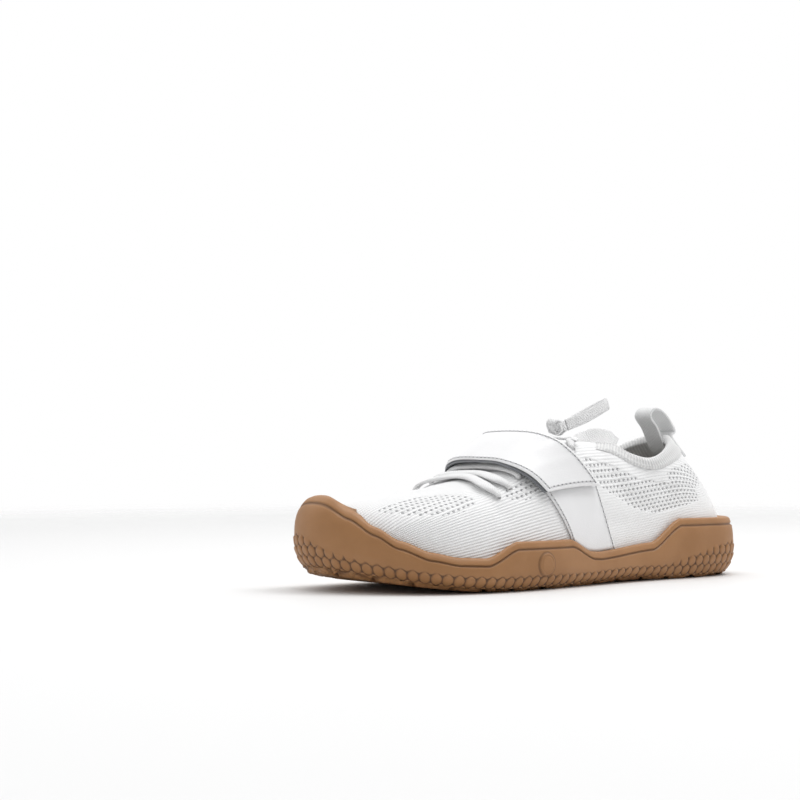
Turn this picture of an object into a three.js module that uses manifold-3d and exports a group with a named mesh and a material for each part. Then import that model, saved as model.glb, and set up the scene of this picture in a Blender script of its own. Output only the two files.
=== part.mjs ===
import * as THREE from "three";
import { mergeVertices } from "three/addons/utils/BufferGeometryUtils.js";
import Module from "manifold-3d";

const wasm = await Module();
wasm.setup();

// Driving sizes of the left shoe, in millimetres: +X to the toe, +Y to the outer side, +Z up
const LENGTH = 280;
const BALL_WIDTH = 104;
const INSTEP_HEIGHT = 84;
const HEEL_HEIGHT = 78;
const TOE_CAP_HEIGHT = 49;
const FOOT_CLEARANCE = 0.3;

// The cup sole
const SOLE_BED = 6.5;
const LUG_DEPTH = 1.6;
const LUG_WIDTH = 17.4;
const LUG_GROOVE = 2.6;
const LUG_MARGIN = 6.4;
const TOE_SPRING = 11;
const WAIST_LIFT = 0.8;
const SOLE_WALL = 5.6;
const CUP_CLEARANCE = 0.4;
const LIP_EASE = 0.7;
const LIP_DROP = 2.2;
const RIM_BEAD = 3.6;
const RIM_BEAD_GROOVE = 0.9;
const BADGE_DIAMETER = 12;
const BADGE_DEPTH = 0.8;

// The upper, its overlays and what it carries
const UPPER_WALL = 2.0;
const INSOLE_THICKNESS = 3.5;
const TONGUE_THICKNESS = 2.6;
const TONGUE_CLEARANCE = 1.2;
const PANEL_THICKNESS = 1.1;
const STRAP_THICKNESS = 2.4;
const STRAP_RISE_FRONT = 2.8;
const STRAP_RISE_REAR = 7.4;
const STRAP_OVER_PANEL = 0.5;
const COLLAR_STEP = 1.0;
const LACE_WIDTH = 5.4;
const LACE_THICKNESS = 1.8;
const KNOT_LENGTH = 14;
const KNOT_WIDTH = 12;
const KNOT_HEIGHT = 10;
const KNOT_CLEARANCE = 0.1;
const BOW_LENGTH = 32;
const LOOP_WIDTH = 12.5;
const LOOP_THICKNESS = 1.8;

// Where the foot's frame starts: the flat spot under the heel is the origin
const HEEL_SPOT = 0.143 * LENGTH;

// Sections of the last from heel to toe. along is a share of the length, and lateral and medial are
// shares of the ball width: the widest line of the sole on each side. tuck is how far the sole's top
// line lies inside it, lean how far the wall swells out, both shares of the ball width. rise and crown
// are the heights of the wall's two turns and top that of the opening's edge, as shares of the heel
// height behind the collar and of the instep height before it. reach is the share of the way back from
// the edge to the wall at which the shoulder turns. rim, rimLateral and rimMedial place the edge.
const HEEL = HEEL_HEIGHT;
const INSTEP = INSTEP_HEIGHT;
const SECTIONS = [
  { along: 0.0, lateral: 0.0, medial: 0.0, tuck: 0.03, lean: 0.01, of: HEEL, rise: 0.45,
    reach: 0.49, crown: 0.79, rim: 0.159, rimLateral: 0.0, rimMedial: 0.0, top: 1.0 },
  { along: 0.02, lateral: 0.183, medial: -0.18, tuck: 0.028, lean: 0.012, of: HEEL, rise: 0.45,
    reach: 0.49, crown: 0.79, rim: 0.169, rimLateral: 0.092, rimMedial: -0.09, top: 0.99 },
  { along: 0.068, lateral: 0.298, medial: -0.288, tuck: 0.024, lean: 0.016, of: HEEL, rise: 0.47,
    reach: 0.48, crown: 0.77, rim: 0.193, rimLateral: 0.166, rimMedial: -0.16, top: 0.95 },
  { along: 0.161, lateral: 0.346, medial: -0.332, tuck: 0.02, lean: 0.02, of: HEEL, rise: 0.5,
    reach: 0.52, crown: 0.74, rim: 0.236, rimLateral: 0.224, rimMedial: -0.212, top: 0.875 },
  { along: 0.25, lateral: 0.349, medial: -0.317, tuck: 0.018, lean: 0.02, of: HEEL, rise: 0.5,
    reach: 0.56, crown: 0.72, rim: 0.282, rimLateral: 0.25, rimMedial: -0.225, top: 0.835 },
  { along: 0.339, lateral: 0.36, medial: -0.317, tuck: 0.018, lean: 0.02, of: HEEL, rise: 0.52,
    reach: 0.6, crown: 0.76, rim: 0.325, rimLateral: 0.235, rimMedial: -0.215, top: 0.865 },
  { along: 0.421, lateral: 0.385, medial: -0.337, tuck: 0.018, lean: 0.02, of: INSTEP, rise: 0.5,
    reach: 0.62, crown: 0.82, rim: 0.368, rimLateral: 0.196, rimMedial: -0.19, top: 0.87 },
  { along: 0.493, lateral: 0.418, medial: -0.375, tuck: 0.018, lean: 0.02, of: INSTEP, rise: 0.5,
    reach: 0.62, crown: 0.86, rim: 0.425, rimLateral: 0.17, rimMedial: -0.168, top: 0.905 },
  { along: 0.561, lateral: 0.452, medial: -0.418, tuck: 0.018, lean: 0.02, of: INSTEP, rise: 0.48,
    reach: 0.62, crown: 0.85, rim: 0.493, rimLateral: 0.148, rimMedial: -0.148, top: 0.895 },
  { along: 0.629, lateral: 0.481, medial: -0.46, tuck: 0.018, lean: 0.02, of: INSTEP, rise: 0.46,
    reach: 0.62, crown: 0.79, rim: 0.556, rimLateral: 0.126, rimMedial: -0.128, top: 0.845 },
  { along: 0.696, lateral: 0.493, medial: -0.495, tuck: 0.018, lean: 0.02, of: INSTEP, rise: 0.46,
    reach: 0.64, crown: 0.69, rim: 0.611, rimLateral: 0.1, rimMedial: -0.104, top: 0.765 },
  { along: 0.764, lateral: 0.476, medial: -0.508, tuck: 0.02, lean: 0.02, of: INSTEP, rise: 0.48,
    reach: 0.68, crown: 0.61, rim: 0.646, rimLateral: 0.074, rimMedial: -0.08, top: 0.71 },
  { along: 0.829, lateral: 0.428, medial: -0.505, tuck: 0.026, lean: 0.022, of: INSTEP, rise: 0.52,
    reach: 0.74, crown: 0.545, rim: 0.661, rimLateral: 0.046, rimMedial: -0.058, top: 0.69 },
  { along: 0.886, lateral: 0.342, medial: -0.478, tuck: 0.026, lean: 0.026, of: INSTEP, rise: 0.56,
    reach: 0.79, crown: 0.505, rim: 0.667, rimLateral: 0.024, rimMedial: -0.042, top: 0.682 },
  { along: 0.943, lateral: 0.188, medial: -0.425, tuck: 0.028, lean: 0.032, of: INSTEP, rise: 0.6,
    reach: 0.84, crown: 0.49, rim: 0.669, rimLateral: 0.008, rimMedial: -0.03, top: 0.679 },
  { along: 0.986, lateral: 0.01, medial: -0.327, tuck: 0.056, lean: 0.036, of: INSTEP, rise: 0.61,
    reach: 0.86, crown: 0.485, rim: 0.67, rimLateral: -0.004, rimMedial: -0.021, top: 0.678 },
  { along: 1.0, lateral: -0.163, medial: -0.163, tuck: 0.085, lean: 0.036, of: INSTEP, rise: 0.61,
    reach: 0.86, crown: 0.485, rim: 0.67, rimLateral: -0.013, rimMedial: -0.013, top: 0.678 },
];
const STEPS_PER_SECTION = 3;

// The sole's top line on each side: along is a share of the length, height one of the toe cap's height
const TOP_LINE_LATERAL = [
  { along: 0.0, height: 0.675 },
  { along: 0.225, height: 0.685 },
  { along: 0.305, height: 0.43 },
  { along: 0.46, height: 0.36 },
  { along: 0.485, height: 0.37 },
  { along: 0.55, height: 0.515 },
  { along: 0.7, height: 0.52 },
  { along: 0.765, height: 0.36 },
  { along: 0.82, height: 0.372 },
  { along: 0.87, height: 0.43 },
  { along: 0.915, height: 0.55 },
  { along: 0.945, height: 0.685 },
  { along: 0.975, height: 0.85 },
  { along: 1.0, height: 1.0 },
];
const TOP_LINE_MEDIAL = [
  { along: 0.0, height: 0.675 },
  { along: 0.225, height: 0.67 },
  { along: 0.305, height: 0.36 },
  { along: 0.5, height: 0.3 },
  { along: 0.7, height: 0.3 },
  { along: 0.8, height: 0.36 },
  { along: 0.87, height: 0.45 },
  { along: 0.93, height: 0.66 },
  { along: 0.975, height: 0.88 },
  { along: 1.0, height: 1.0 },
];

// Levels of the upper's wall, from its foot to the edge of the opening
const WALL_LEVELS = [0, 0.11, 0.22, 0.34, 0.46, 0.59, 0.73, 0.87, 0.89, 1];
const INNER_LEVELS = [1, 0.87, 0.68, 0.46, 0.22, 0];

const LAST = SECTIONS.length - 1;
const KNOTS = 2 * LAST;
const STATIONS = KNOTS * STEPS_PER_SECTION;

// A knot of the ring: sections run forward on the outer side and back on the inner side
function knot(index) {
  const wrapped = ((index % KNOTS) + KNOTS) % KNOTS;
  const lateral = wrapped <= LAST;
  const row = SECTIONS[lateral ? wrapped : KNOTS - wrapped];
  return [
    row.along * LENGTH - HEEL_SPOT,
    (lateral ? row.lateral : row.medial) * BALL_WIDTH,
    row.tuck * BALL_WIDTH,
    row.lean * BALL_WIDTH,
    row.rise * row.of,
    row.reach,
    row.crown * row.of,
    row.rim * LENGTH - HEEL_SPOT,
    (lateral ? row.rimLateral : row.rimMedial) * BALL_WIDTH,
    row.top * row.of,
  ];
}

// The values of the ring at a turn, 0 at the heel, by a Catmull-Rom curve through the knots
function ringAt(turn) {
  const base = Math.floor(turn);
  const s = turn - base;
  const [a, b, c, d] = [-1, 0, 1, 2].map((step) => knot(base + step));
  const v = b.map(
    (_, i) =>
      0.5 *
      (2 * b[i] +
        (c[i] - a[i]) * s +
        (2 * a[i] - 5 * b[i] + 4 * c[i] - d[i]) * s * s +
        (3 * b[i] - a[i] - 3 * c[i] + d[i]) * s * s * s),
  );
  return {
    x: v[0],
    y: v[1],
    tuck: v[2],
    lean: v[3],
    rise: v[4],
    reach: v[5],
    crown: v[6],
    rim: new THREE.Vector3(v[7], v[8], v[9]),
  };
}

const SMALL_TURN = 0.02;

// The outward direction of the sole's outline at a turn
function outward(turn) {
  const before = ringAt(turn - SMALL_TURN);
  const after = ringAt(turn + SMALL_TURN);
  return new THREE.Vector3(before.y - after.y, after.x - before.x, 0).normalize();
}

function eased(rows, along) {
  const next = rows.findIndex((row) => row.along >= along);
  if (next <= 0) return rows[next < 0 ? rows.length - 1 : 0].height;
  const [a, b] = [rows[next - 1], rows[next]];
  const s = THREE.MathUtils.smoothstep(along, a.along, b.along);
  const straight = (along - a.along) / (b.along - a.along);
  return THREE.MathUtils.lerp(a.height, b.height, (s + straight) / 2);
}

// Height of the sole's top line at a turn
function topLine(turn) {
  const along = THREE.MathUtils.clamp((ringAt(turn).x + HEEL_SPOT) / LENGTH, 0, 1);
  const rows = turn <= LAST ? TOP_LINE_LATERAL : TOP_LINE_MEDIAL;
  return eased(rows, along) * TOE_CAP_HEIGHT;
}

const SPRING_START = 0.7;
const WAIST_CENTRE = 0.37;
const WAIST_HALF = 0.13;

// How far the tread stands off the floor: the toe spring and the shallow arch of the waist
function lift(x) {
  const along = (x + HEEL_SPOT) / LENGTH;
  const spring = Math.max(0, (along - SPRING_START) / (1 - SPRING_START));
  const waist = Math.max(0, 1 - ((along - WAIST_CENTRE) / WAIST_HALF) ** 2);
  return TOE_SPRING * spring ** 2 + WAIST_LIFT * waist ** 2;
}

// A point of the upper's outer surface: a cubic curve from its foot on the bed to the opening's edge
function surfacePoint(turn, level) {
  const ring = ringAt(turn);
  const out = outward(turn);
  const foot = new THREE.Vector3(ring.x, ring.y, 0).addScaledVector(out, -SOLE_WALL);
  foot.z = lift(foot.x) + SOLE_BED + FOOT_CLEARANCE;
  const swell = foot.clone().addScaledVector(out, ring.lean);
  swell.z = ring.rise;
  const shoulder = ring.rim.clone().lerp(foot, ring.reach);
  shoulder.z = ring.crown;
  return new THREE.CubicBezierCurve3(foot, swell, shoulder, ring.rim).getPoint(level);
}

const SMALL_LEVEL = 0.01;

function surfaceNormal(turn, level) {
  const low = THREE.MathUtils.clamp(level, SMALL_LEVEL, 1 - SMALL_LEVEL);
  const around = surfacePoint(turn + SMALL_TURN, low).sub(surfacePoint(turn - SMALL_TURN, low));
  const up = surfacePoint(turn, low + SMALL_LEVEL).sub(surfacePoint(turn, low - SMALL_LEVEL));
  return up.cross(around).normalize();
}

// A point at a distance outside the upper's outer surface, or inside it when negative
function offsetPoint(turn, level, distance) {
  return surfacePoint(turn, level).addScaledVector(surfaceNormal(turn, level), distance);
}

const turns = Array.from({ length: STATIONS }, (_, i) => i / STEPS_PER_SECTION);

function ringOf(pointAt) {
  return turns.map(pointAt);
}

// A surface of rings, each running round the shoe. It closes on itself, or its ends are capped by
// strips that join each outer-side point with the inner-side one across the shoe.
function ringSolid(rings, capped) {
  const count = rings[0].length;
  const index = [];
  const at = (ring, i) => ring * count + (i % count);
  const joins = capped ? rings.length - 1 : rings.length;
  for (let r = 0; r < joins; r++) {
    const next = (r + 1) % rings.length;
    for (let i = 0; i < count; i++) {
      index.push(at(r, i), at(next, i + 1), at(r, i + 1));
      index.push(at(r, i), at(next, i), at(next, i + 1));
    }
  }
  const cap = (ring, up) => {
    for (let i = 0; i < count / 2; i++) {
      const corners = [at(ring, i), at(ring, count - i), at(ring, count - i - 1), at(ring, i + 1)];
      const faces = [
        [corners[0], corners[1], corners[2]],
        [corners[0], corners[2], corners[3]],
      ];
      for (const face of faces) {
        if (new Set(face).size === 3) index.push(...(up ? face : face.reverse()));
      }
    }
  };
  if (capped) {
    cap(0, false);
    cap(rings.length - 1, true);
  }
  return geometryOf(rings.flat(), index);
}

function geometryOf(points, index) {
  const geometry = new THREE.BufferGeometry().setFromPoints(points);
  return geometry.setIndex(index);
}

// A plate between an outer and an inner grid of points, closed along its four edges
function plate(across, along, outerAt, innerAt) {
  const points = [];
  const index = [];
  const side = (across + 1) * (along + 1);
  for (const pointAt of [outerAt, innerAt]) {
    for (let j = 0; j <= along; j++) {
      for (let i = 0; i <= across; i++) points.push(pointAt(i / across, j / along));
    }
  }
  const at = (layer, i, j) => layer * side + j * (across + 1) + i;
  const quad = (a, b, c, d) => index.push(a, b, c, a, c, d);
  for (let j = 0; j < along; j++) {
    for (let i = 0; i < across; i++) {
      quad(at(0, i, j), at(0, i + 1, j), at(0, i + 1, j + 1), at(0, i, j + 1));
      quad(at(1, i, j), at(1, i, j + 1), at(1, i + 1, j + 1), at(1, i + 1, j));
    }
    quad(at(0, 0, j), at(0, 0, j + 1), at(1, 0, j + 1), at(1, 0, j));
    quad(at(0, across, j), at(1, across, j), at(1, across, j + 1), at(0, across, j + 1));
  }
  for (let i = 0; i < across; i++) {
    quad(at(0, i, 0), at(1, i, 0), at(1, i + 1, 0), at(0, i + 1, 0));
    quad(at(0, i, along), at(0, i + 1, along), at(1, i + 1, along), at(1, i, along));
  }
  return geometryOf(points, index);
}

const WELD = 1e-4;

function bareOf(geometry) {
  const bare = geometry.clone();
  bare.deleteAttribute("normal");
  bare.deleteAttribute("uv");
  return mergeVertices(bare, WELD);
}

function solidOf(geometry) {
  const merged = bareOf(geometry);
  return new wasm.Manifold(
    new wasm.Mesh({
      numProp: 3,
      vertProperties: new Float32Array(merged.attributes.position.array),
      triVerts: new Uint32Array(merged.index.array),
    }),
  );
}

function geometryFrom(solid) {
  const mesh = solid.getMesh();
  const geometry = new THREE.BufferGeometry();
  geometry.setAttribute("position", new THREE.BufferAttribute(mesh.vertProperties, 3));
  geometry.setIndex(new THREE.BufferAttribute(mesh.triVerts, 1));
  geometry.computeVertexNormals();
  return geometry;
}

// A point of the sole's side: depth inside its widest line, at a height
function sidePoint(turn, depth, height) {
  const ring = ringAt(turn);
  const point = new THREE.Vector3(ring.x, ring.y, 0).addScaledVector(outward(turn), -depth);
  point.z = height;
  return point;
}

// Shape of the sole's side: how far it tucks in under the widest line and above it
const BOTTOM_TUCK = 5.0;
const WIDEST_SHARE = 0.42;
const BOTTOM_CURVE = 2.2;
const TUCK_CURVE = 3.6;

function sideDepth(turn, share) {
  const ring = ringAt(turn);
  if (share < WIDEST_SHARE) return BOTTOM_TUCK * (1 - share / WIDEST_SHARE) ** BOTTOM_CURVE;
  return ring.tuck * ((share - WIDEST_SHARE) / (1 - WIDEST_SHARE)) ** TUCK_CURVE;
}

const HALVINGS = 24;

// The level of the upper's wall at a height
function levelAt(turn, height) {
  let low = 0;
  let high = 1;
  for (let i = 0; i < HALVINGS; i++) {
    const middle = (low + high) / 2;
    if (surfacePoint(turn, middle).z < height) low = middle;
    else high = middle;
  }
  return low;
}

const SIDE_SHARES = [0, 0.08, 0.22, 0.44, 0.66, 0.8];

// The level at which the sole's lip lets go of the upper
function lipLevel(turn) {
  return levelAt(turn, topLine(turn) - LIP_DROP);
}

const CUP_SHARES = [1, 0.87, 0.73, 0.58, 0.4, 0.2];
const CUP_CURVE = 4;
const LIP_ROUND = 1.1;
const TREAD_INSET = 8;

function soleBody() {
  const tread = (turn) => lift(ringAt(turn).x) + LUG_DEPTH;
  const sideAt = (share) => (turn) => {
    const low = tread(turn);
    const height = low + share * (topLine(turn) - low);
    return sidePoint(turn, sideDepth(turn, share), height);
  };
  const beadAt = (drop, extra) => (turn) => {
    const low = tread(turn);
    const share = 1 - drop / (topLine(turn) - low);
    return sidePoint(turn, sideDepth(turn, share) + extra, topLine(turn) - drop);
  };
  const cupAt = (share) => (turn) =>
    offsetPoint(turn, share * lipLevel(turn), CUP_CLEARANCE + LIP_EASE * share ** CUP_CURVE);
  const bedAt = (turn) => {
    const point = offsetPoint(turn, 0, CUP_CLEARANCE);
    point.z = lift(point.x) + SOLE_BED;
    return point;
  };
  const rings = [
    (turn) => sidePoint(turn, TREAD_INSET, tread(turn)),
    ...SIDE_SHARES.map(sideAt),
    beadAt(RIM_BEAD + RIM_BEAD_GROOVE, 0),
    beadAt(RIM_BEAD, RIM_BEAD_GROOVE),
    beadAt(RIM_BEAD - RIM_BEAD_GROOVE, 0),
    beadAt(LIP_ROUND, 0),
    beadAt(0, LIP_ROUND),
    ...CUP_SHARES.map(cupAt),
    bedAt,
  ].map(ringOf);
  return ringSolid(rings, true);
}

// Whether a place on the tread lies at least a margin inside the sole's outline
function insideOutline(x, y, margin) {
  const edge = turns.map((turn) => sidePoint(turn, margin, 0));
  let inside = false;
  edge.forEach((a, i) => {
    const b = edge[(i + 1) % edge.length];
    if (a.y > y !== b.y > y && x < a.x + ((b.x - a.x) * (y - a.y)) / (b.y - a.y)) inside = !inside;
  });
  return inside;
}

const LUG_ROOT = 1.2;
const HEXAGON = 6;

// A hexagon lug whose face follows the tread's lift, rooted in the sole
function lug(x, y) {
  const radius = LUG_WIDTH / Math.sqrt(3);
  const prism = new THREE.CylinderGeometry(radius, radius, 1, HEXAGON, 1);
  prism.rotateX(Math.PI / 2);
  prism.translate(x, y, 0);
  const places = prism.attributes.position;
  for (let i = 0; i < places.count; i++) {
    const rise = places.getZ(i) > 0 ? LUG_DEPTH + LUG_ROOT : 0;
    places.setZ(i, lift(places.getX(i)) + rise);
  }
  return solidOf(prism);
}

// The places of the lugs: a grid of hexagons with one centred on the heel's flat spot
function lugPlaces() {
  const pitch = LUG_WIDTH + LUG_GROOVE;
  const row = (pitch * Math.sqrt(3)) / 2;
  const margin = LUG_MARGIN + LUG_WIDTH / 2;
  const places = [];
  for (let j = -Math.ceil(BALL_WIDTH / row); j <= Math.ceil(BALL_WIDTH / row); j++) {
    for (let i = -Math.ceil(LENGTH / pitch); i <= Math.ceil(LENGTH / pitch); i++) {
      const x = (i + (j % 2) / 2) * pitch;
      if (insideOutline(x, j * row, margin)) places.push([x, j * row]);
    }
  }
  return places;
}

const BADGE_TURN = 9.03;
const BADGE_SHARE = 0.46;
const BADGE_ROOT = 2.5;
const BADGE_SIDES = 24;
const CYLINDER_AXIS = new THREE.Vector3(0, 1, 0);

// The plain round boss on the outer side of the waist
function badge() {
  const low = lift(ringAt(BADGE_TURN).x) + LUG_DEPTH;
  const height = THREE.MathUtils.lerp(low, topLine(BADGE_TURN), BADGE_SHARE);
  const face = sidePoint(BADGE_TURN, sideDepth(BADGE_TURN, BADGE_SHARE) - BADGE_DEPTH, height);
  const out = outward(BADGE_TURN);
  const radius = BADGE_DIAMETER / 2;
  const disc = new THREE.CylinderGeometry(radius, radius, BADGE_DEPTH + BADGE_ROOT, BADGE_SIDES);
  disc.applyQuaternion(new THREE.Quaternion().setFromUnitVectors(CYLINDER_AXIS, out));
  const centre = face.addScaledVector(out, -(BADGE_DEPTH + BADGE_ROOT) / 2);
  return solidOf(disc.translate(centre.x, centre.y, centre.z));
}

function outsoleGeometry() {
  const lugs = lugPlaces().map(([x, y]) => lug(x, y));
  const sole = solidOf(soleBody()).add(badge());
  return geometryFrom(lugs.reduce((sum, piece) => sum.add(piece), sole));
}

const outsole = outsoleGeometry();

const RIM_ROUND = 0.6;
const BAND_LEVEL = 0.88;
const BAND_END = 6.4;

// How far the ribbed collar band stands proud of the wall
function bandStep(turn, level) {
  const behind = Math.min(turn, KNOTS - turn);
  return level > BAND_LEVEL && behind < BAND_END ? COLLAR_STEP : 0;
}

function upperGeometry() {
  const outer = WALL_LEVELS.map((level) =>
    ringOf((turn) => offsetPoint(turn, level, bandStep(turn, level))),
  );
  const edge = ringOf((turn) => {
    const middle = offsetPoint(turn, 1, -UPPER_WALL / 2);
    return middle.add(new THREE.Vector3(0, 0, RIM_ROUND));
  });
  const inner = INNER_LEVELS.map((level) =>
    ringOf((turn) => {
      const point = offsetPoint(turn, level, -UPPER_WALL);
      if (level === 0) point.z = surfacePoint(turn, level).z;
      return point;
    }),
  );
  return ringSolid([...outer, edge, ...inner], false);
}

const upper = upperGeometry();

function insoleGeometry() {
  const depth = SOLE_WALL + UPPER_WALL + 3 * FOOT_CLEARANCE;
  const at = (rise) => (turn) => {
    const point = sidePoint(turn, depth, 0);
    point.z = lift(point.x) + SOLE_BED + FOOT_CLEARANCE + rise;
    return point;
  };
  return ringSolid([ringOf(at(0)), ringOf(at(INSOLE_THICKNESS))], true);
}

// A path across the foot from the inner side to the outer, over the throat, at a distance from the wall.
// turnAt gives the place on the ring for a level, and rise is what the path gains over the throat.
function crossing(turnAt, levels, distance, rise) {
  const side = (lateral) =>
    levels.map((level) => {
      const turn = lateral ? turnAt(level) : KNOTS - turnAt(level);
      const gain = rise * THREE.MathUtils.smoothstep(level, levels[0], 1);
      return offsetPoint(turn, level, distance + gain);
    });
  return new THREE.CatmullRomCurve3([...side(false), ...side(true).reverse()]);
}

const STRAP_LEVELS = [0.48, 0.6, 0.7, 0.82, 0.96];
const STRAP_FRONT = { low: 8.8, high: 10.7 };
const STRAP_REAR = { low: 6.65, high: 9.05 };
const STRAP_ACROSS = 4;
const STRAP_ALONG = 24;

function strapGeometry() {
  const turnOf = (edge, level) =>
    THREE.MathUtils.mapLinear(level, STRAP_LEVELS[0], 1, edge.low, edge.high);
  const pathAt = (share, distance) => {
    const turnAt = (level) =>
      THREE.MathUtils.lerp(turnOf(STRAP_REAR, level), turnOf(STRAP_FRONT, level), share);
    const rise = THREE.MathUtils.lerp(STRAP_RISE_REAR, STRAP_RISE_FRONT, share);
    return crossing(turnAt, STRAP_LEVELS, distance, rise);
  };
  const base = 2 * FOOT_CLEARANCE + PANEL_THICKNESS + STRAP_OVER_PANEL;
  const layer = (distance) => (share, along) => pathAt(share, distance).getPoint(along);
  return plate(STRAP_ACROSS, STRAP_ALONG, layer(base + STRAP_THICKNESS), layer(base));
}

const TONGUE_LEVELS = [0.84, 0.9, 0.97];
const TONGUE_FRONT = 11.2;
const TONGUE_REAR = 5.8;
const TONGUE_FREE = 0.7;
const TONGUE_TOP = { along: -0.032, height: 0.175, narrow: 0.3 };
const TONGUE_NARROWS = [0.3, 0.66];
const TONGUE_ACROSS = 8;
const TONGUE_ALONG = 12;
const TONGUE_CORNER = 0.34;
const TONGUE_CORNER_CURVE = 3;

// The tongue lies against the inside of the throat, and its top stands free above the collar
function tongueGeometry() {
  const layer = (distance) => (across, along) => {
    const held = Math.min(along / TONGUE_FREE, 1);
    const turn = THREE.MathUtils.lerp(TONGUE_FRONT, TONGUE_REAR, held);
    const path = crossing(() => turn, TONGUE_LEVELS, distance, 0);
    const free = Math.max(0, (along - TONGUE_FREE) / (1 - TONGUE_FREE));
    const corner = TONGUE_CORNER * free ** TONGUE_CORNER_CURVE;
    const narrowing = 1 - TONGUE_TOP.narrow * THREE.MathUtils.smoothstep(along, ...TONGUE_NARROWS);
    const point = path.getPointAt(0.5 + (across - 0.5) * narrowing);
    const edge = Math.abs(2 * across - 1) ** TONGUE_CORNER_CURVE;
    const climb = free - corner * edge;
    point.x += TONGUE_TOP.along * LENGTH * climb;
    point.z += TONGUE_TOP.height * INSTEP_HEIGHT * climb;
    return point;
  };
  const outer = -(UPPER_WALL + TONGUE_CLEARANCE);
  return plate(TONGUE_ACROSS, TONGUE_ALONG, layer(outer), layer(outer - TONGUE_THICKNESS));
}

const PANEL_TOP = 0.62;
const PANEL_FRONT = { low: 7.7, high: 10.1 };
const PANEL_REAR = { low: 5.8, high: 7.5 };
const PANEL_STEPS = 8;

// The smooth side panel from the sole's lip to beneath the strap
function panelGeometry(lateral) {
  const layer = (distance) => (across, up) => {
    const guess = up * PANEL_TOP;
    const front = THREE.MathUtils.lerp(PANEL_FRONT.low, PANEL_FRONT.high, guess);
    const rear = THREE.MathUtils.lerp(PANEL_REAR.low, PANEL_REAR.high, guess);
    const row = THREE.MathUtils.lerp(front, rear, across);
    const turn = lateral ? row : KNOTS - row;
    const low = levelAt(turn, topLine(turn) + FOOT_CLEARANCE);
    return offsetPoint(turn, THREE.MathUtils.lerp(low, PANEL_TOP, up), distance);
  };
  const outer = layer(FOOT_CLEARANCE + PANEL_THICKNESS);
  const inner = layer(FOOT_CLEARANCE);
  return lateral
    ? plate(PANEL_STEPS, PANEL_STEPS, outer, inner)
    : plate(PANEL_STEPS, PANEL_STEPS, inner, outer);
}

// A flat band along a path, its width square to the path and to the given direction
function band(path, steps, width, thickness, upAt) {
  const frames = Array.from({ length: steps + 1 }, (_, i) => {
    const share = i / steps;
    const centre = path.getPoint(share);
    const side = path.getTangent(share).cross(upAt(share)).normalize();
    const up = side.clone().cross(path.getTangent(share)).normalize();
    return { centre, side, up };
  });
  const layer = (sign) => (across, along) => {
    const { centre, side, up } = frames[Math.round(along * steps)];
    return centre
      .clone()
      .addScaledVector(side, (across - 0.5) * width)
      .addScaledVector(up, (sign * thickness) / 2);
  };
  return plate(1, steps, layer(1), layer(-1));
}

// A band that keeps its width along one direction
function ribbon(path, steps, width, thickness, across) {
  return band(path, steps, width, thickness, (share) => path.getTangent(share).cross(across));
}

// The pull loop's course over the heel, in shares of the length and of the heel's height
const LOOP_ROUTE = [
  { along: 0.187, height: 1.07 },
  { along: 0.207, height: 1.16 },
  { along: 0.194, height: 1.215 },
  { along: 0.166, height: 1.18 },
  { along: 0.137, height: 1.06 },
];
const LOOP_STEPS = 22;
const LOOP_INNER_CLEARANCE = 2.3;
const LOOP_OUTER_CLEARANCE = 1.1;
const LOOP_INNER_FOOT = 0.86;
const LOOP_OUTER_FOOT = 0.78;
const LOOP_RIM_LEVEL = 0.97;

function pullLoopGeometry() {
  const inside = -(UPPER_WALL + LOOP_INNER_CLEARANCE + LOOP_THICKNESS / 2);
  const outside = COLLAR_STEP + LOOP_OUTER_CLEARANCE + LOOP_THICKNESS / 2;
  const route = LOOP_ROUTE.map(
    ({ along, height }) =>
      new THREE.Vector3(along * LENGTH - HEEL_SPOT, 0, height * HEEL_HEIGHT),
  );
  const path = new THREE.CatmullRomCurve3([
    offsetPoint(0, LOOP_INNER_FOOT, inside),
    offsetPoint(0, LOOP_RIM_LEVEL, inside),
    ...route,
    offsetPoint(0, LOOP_RIM_LEVEL, outside),
    offsetPoint(0, LOOP_OUTER_FOOT, outside),
  ]);
  return ribbon(path, LOOP_STEPS, LOOP_WIDTH, LOOP_THICKNESS, new THREE.Vector3(0, 1, 0));
}

// The lace's course over the throat from side to side, toe end first. Each bar runs from a low place
// on one side over its crown places to the same on the other; its turns are those of the outer side.
const LACE_BARS = [
  { low: 10.6, level: 0.6, shoulder: 11.3, shoulderLevel: 0.77, crown: 13.6, crownLevel: 0.955 },
  { low: 10.15, level: 0.66, shoulder: 10.7, shoulderLevel: 0.81, crown: 11.6, crownLevel: 0.97 },
  { low: 9.7, level: 0.72, shoulder: 10.0, shoulderLevel: 0.84, crown: 10.5, crownLevel: 0.98 },
  { low: 9.1, level: 0.78, shoulder: 9.3, shoulderLevel: 0.88, crown: 9.6, crownLevel: 0.99 },
  { low: 8.4, level: 0.82, shoulder: 8.5, shoulderLevel: 0.9, crown: 8.6, crownLevel: 1.0 },
  { low: 7.6, level: 0.84, shoulder: 7.6, shoulderLevel: 0.92, crown: 7.6, crownLevel: 1.0 },
];
const LACE_CLEARANCE = 0.5;
const LACE_LIFT = 0.5;
const LACE_STEPS = 8;

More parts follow.
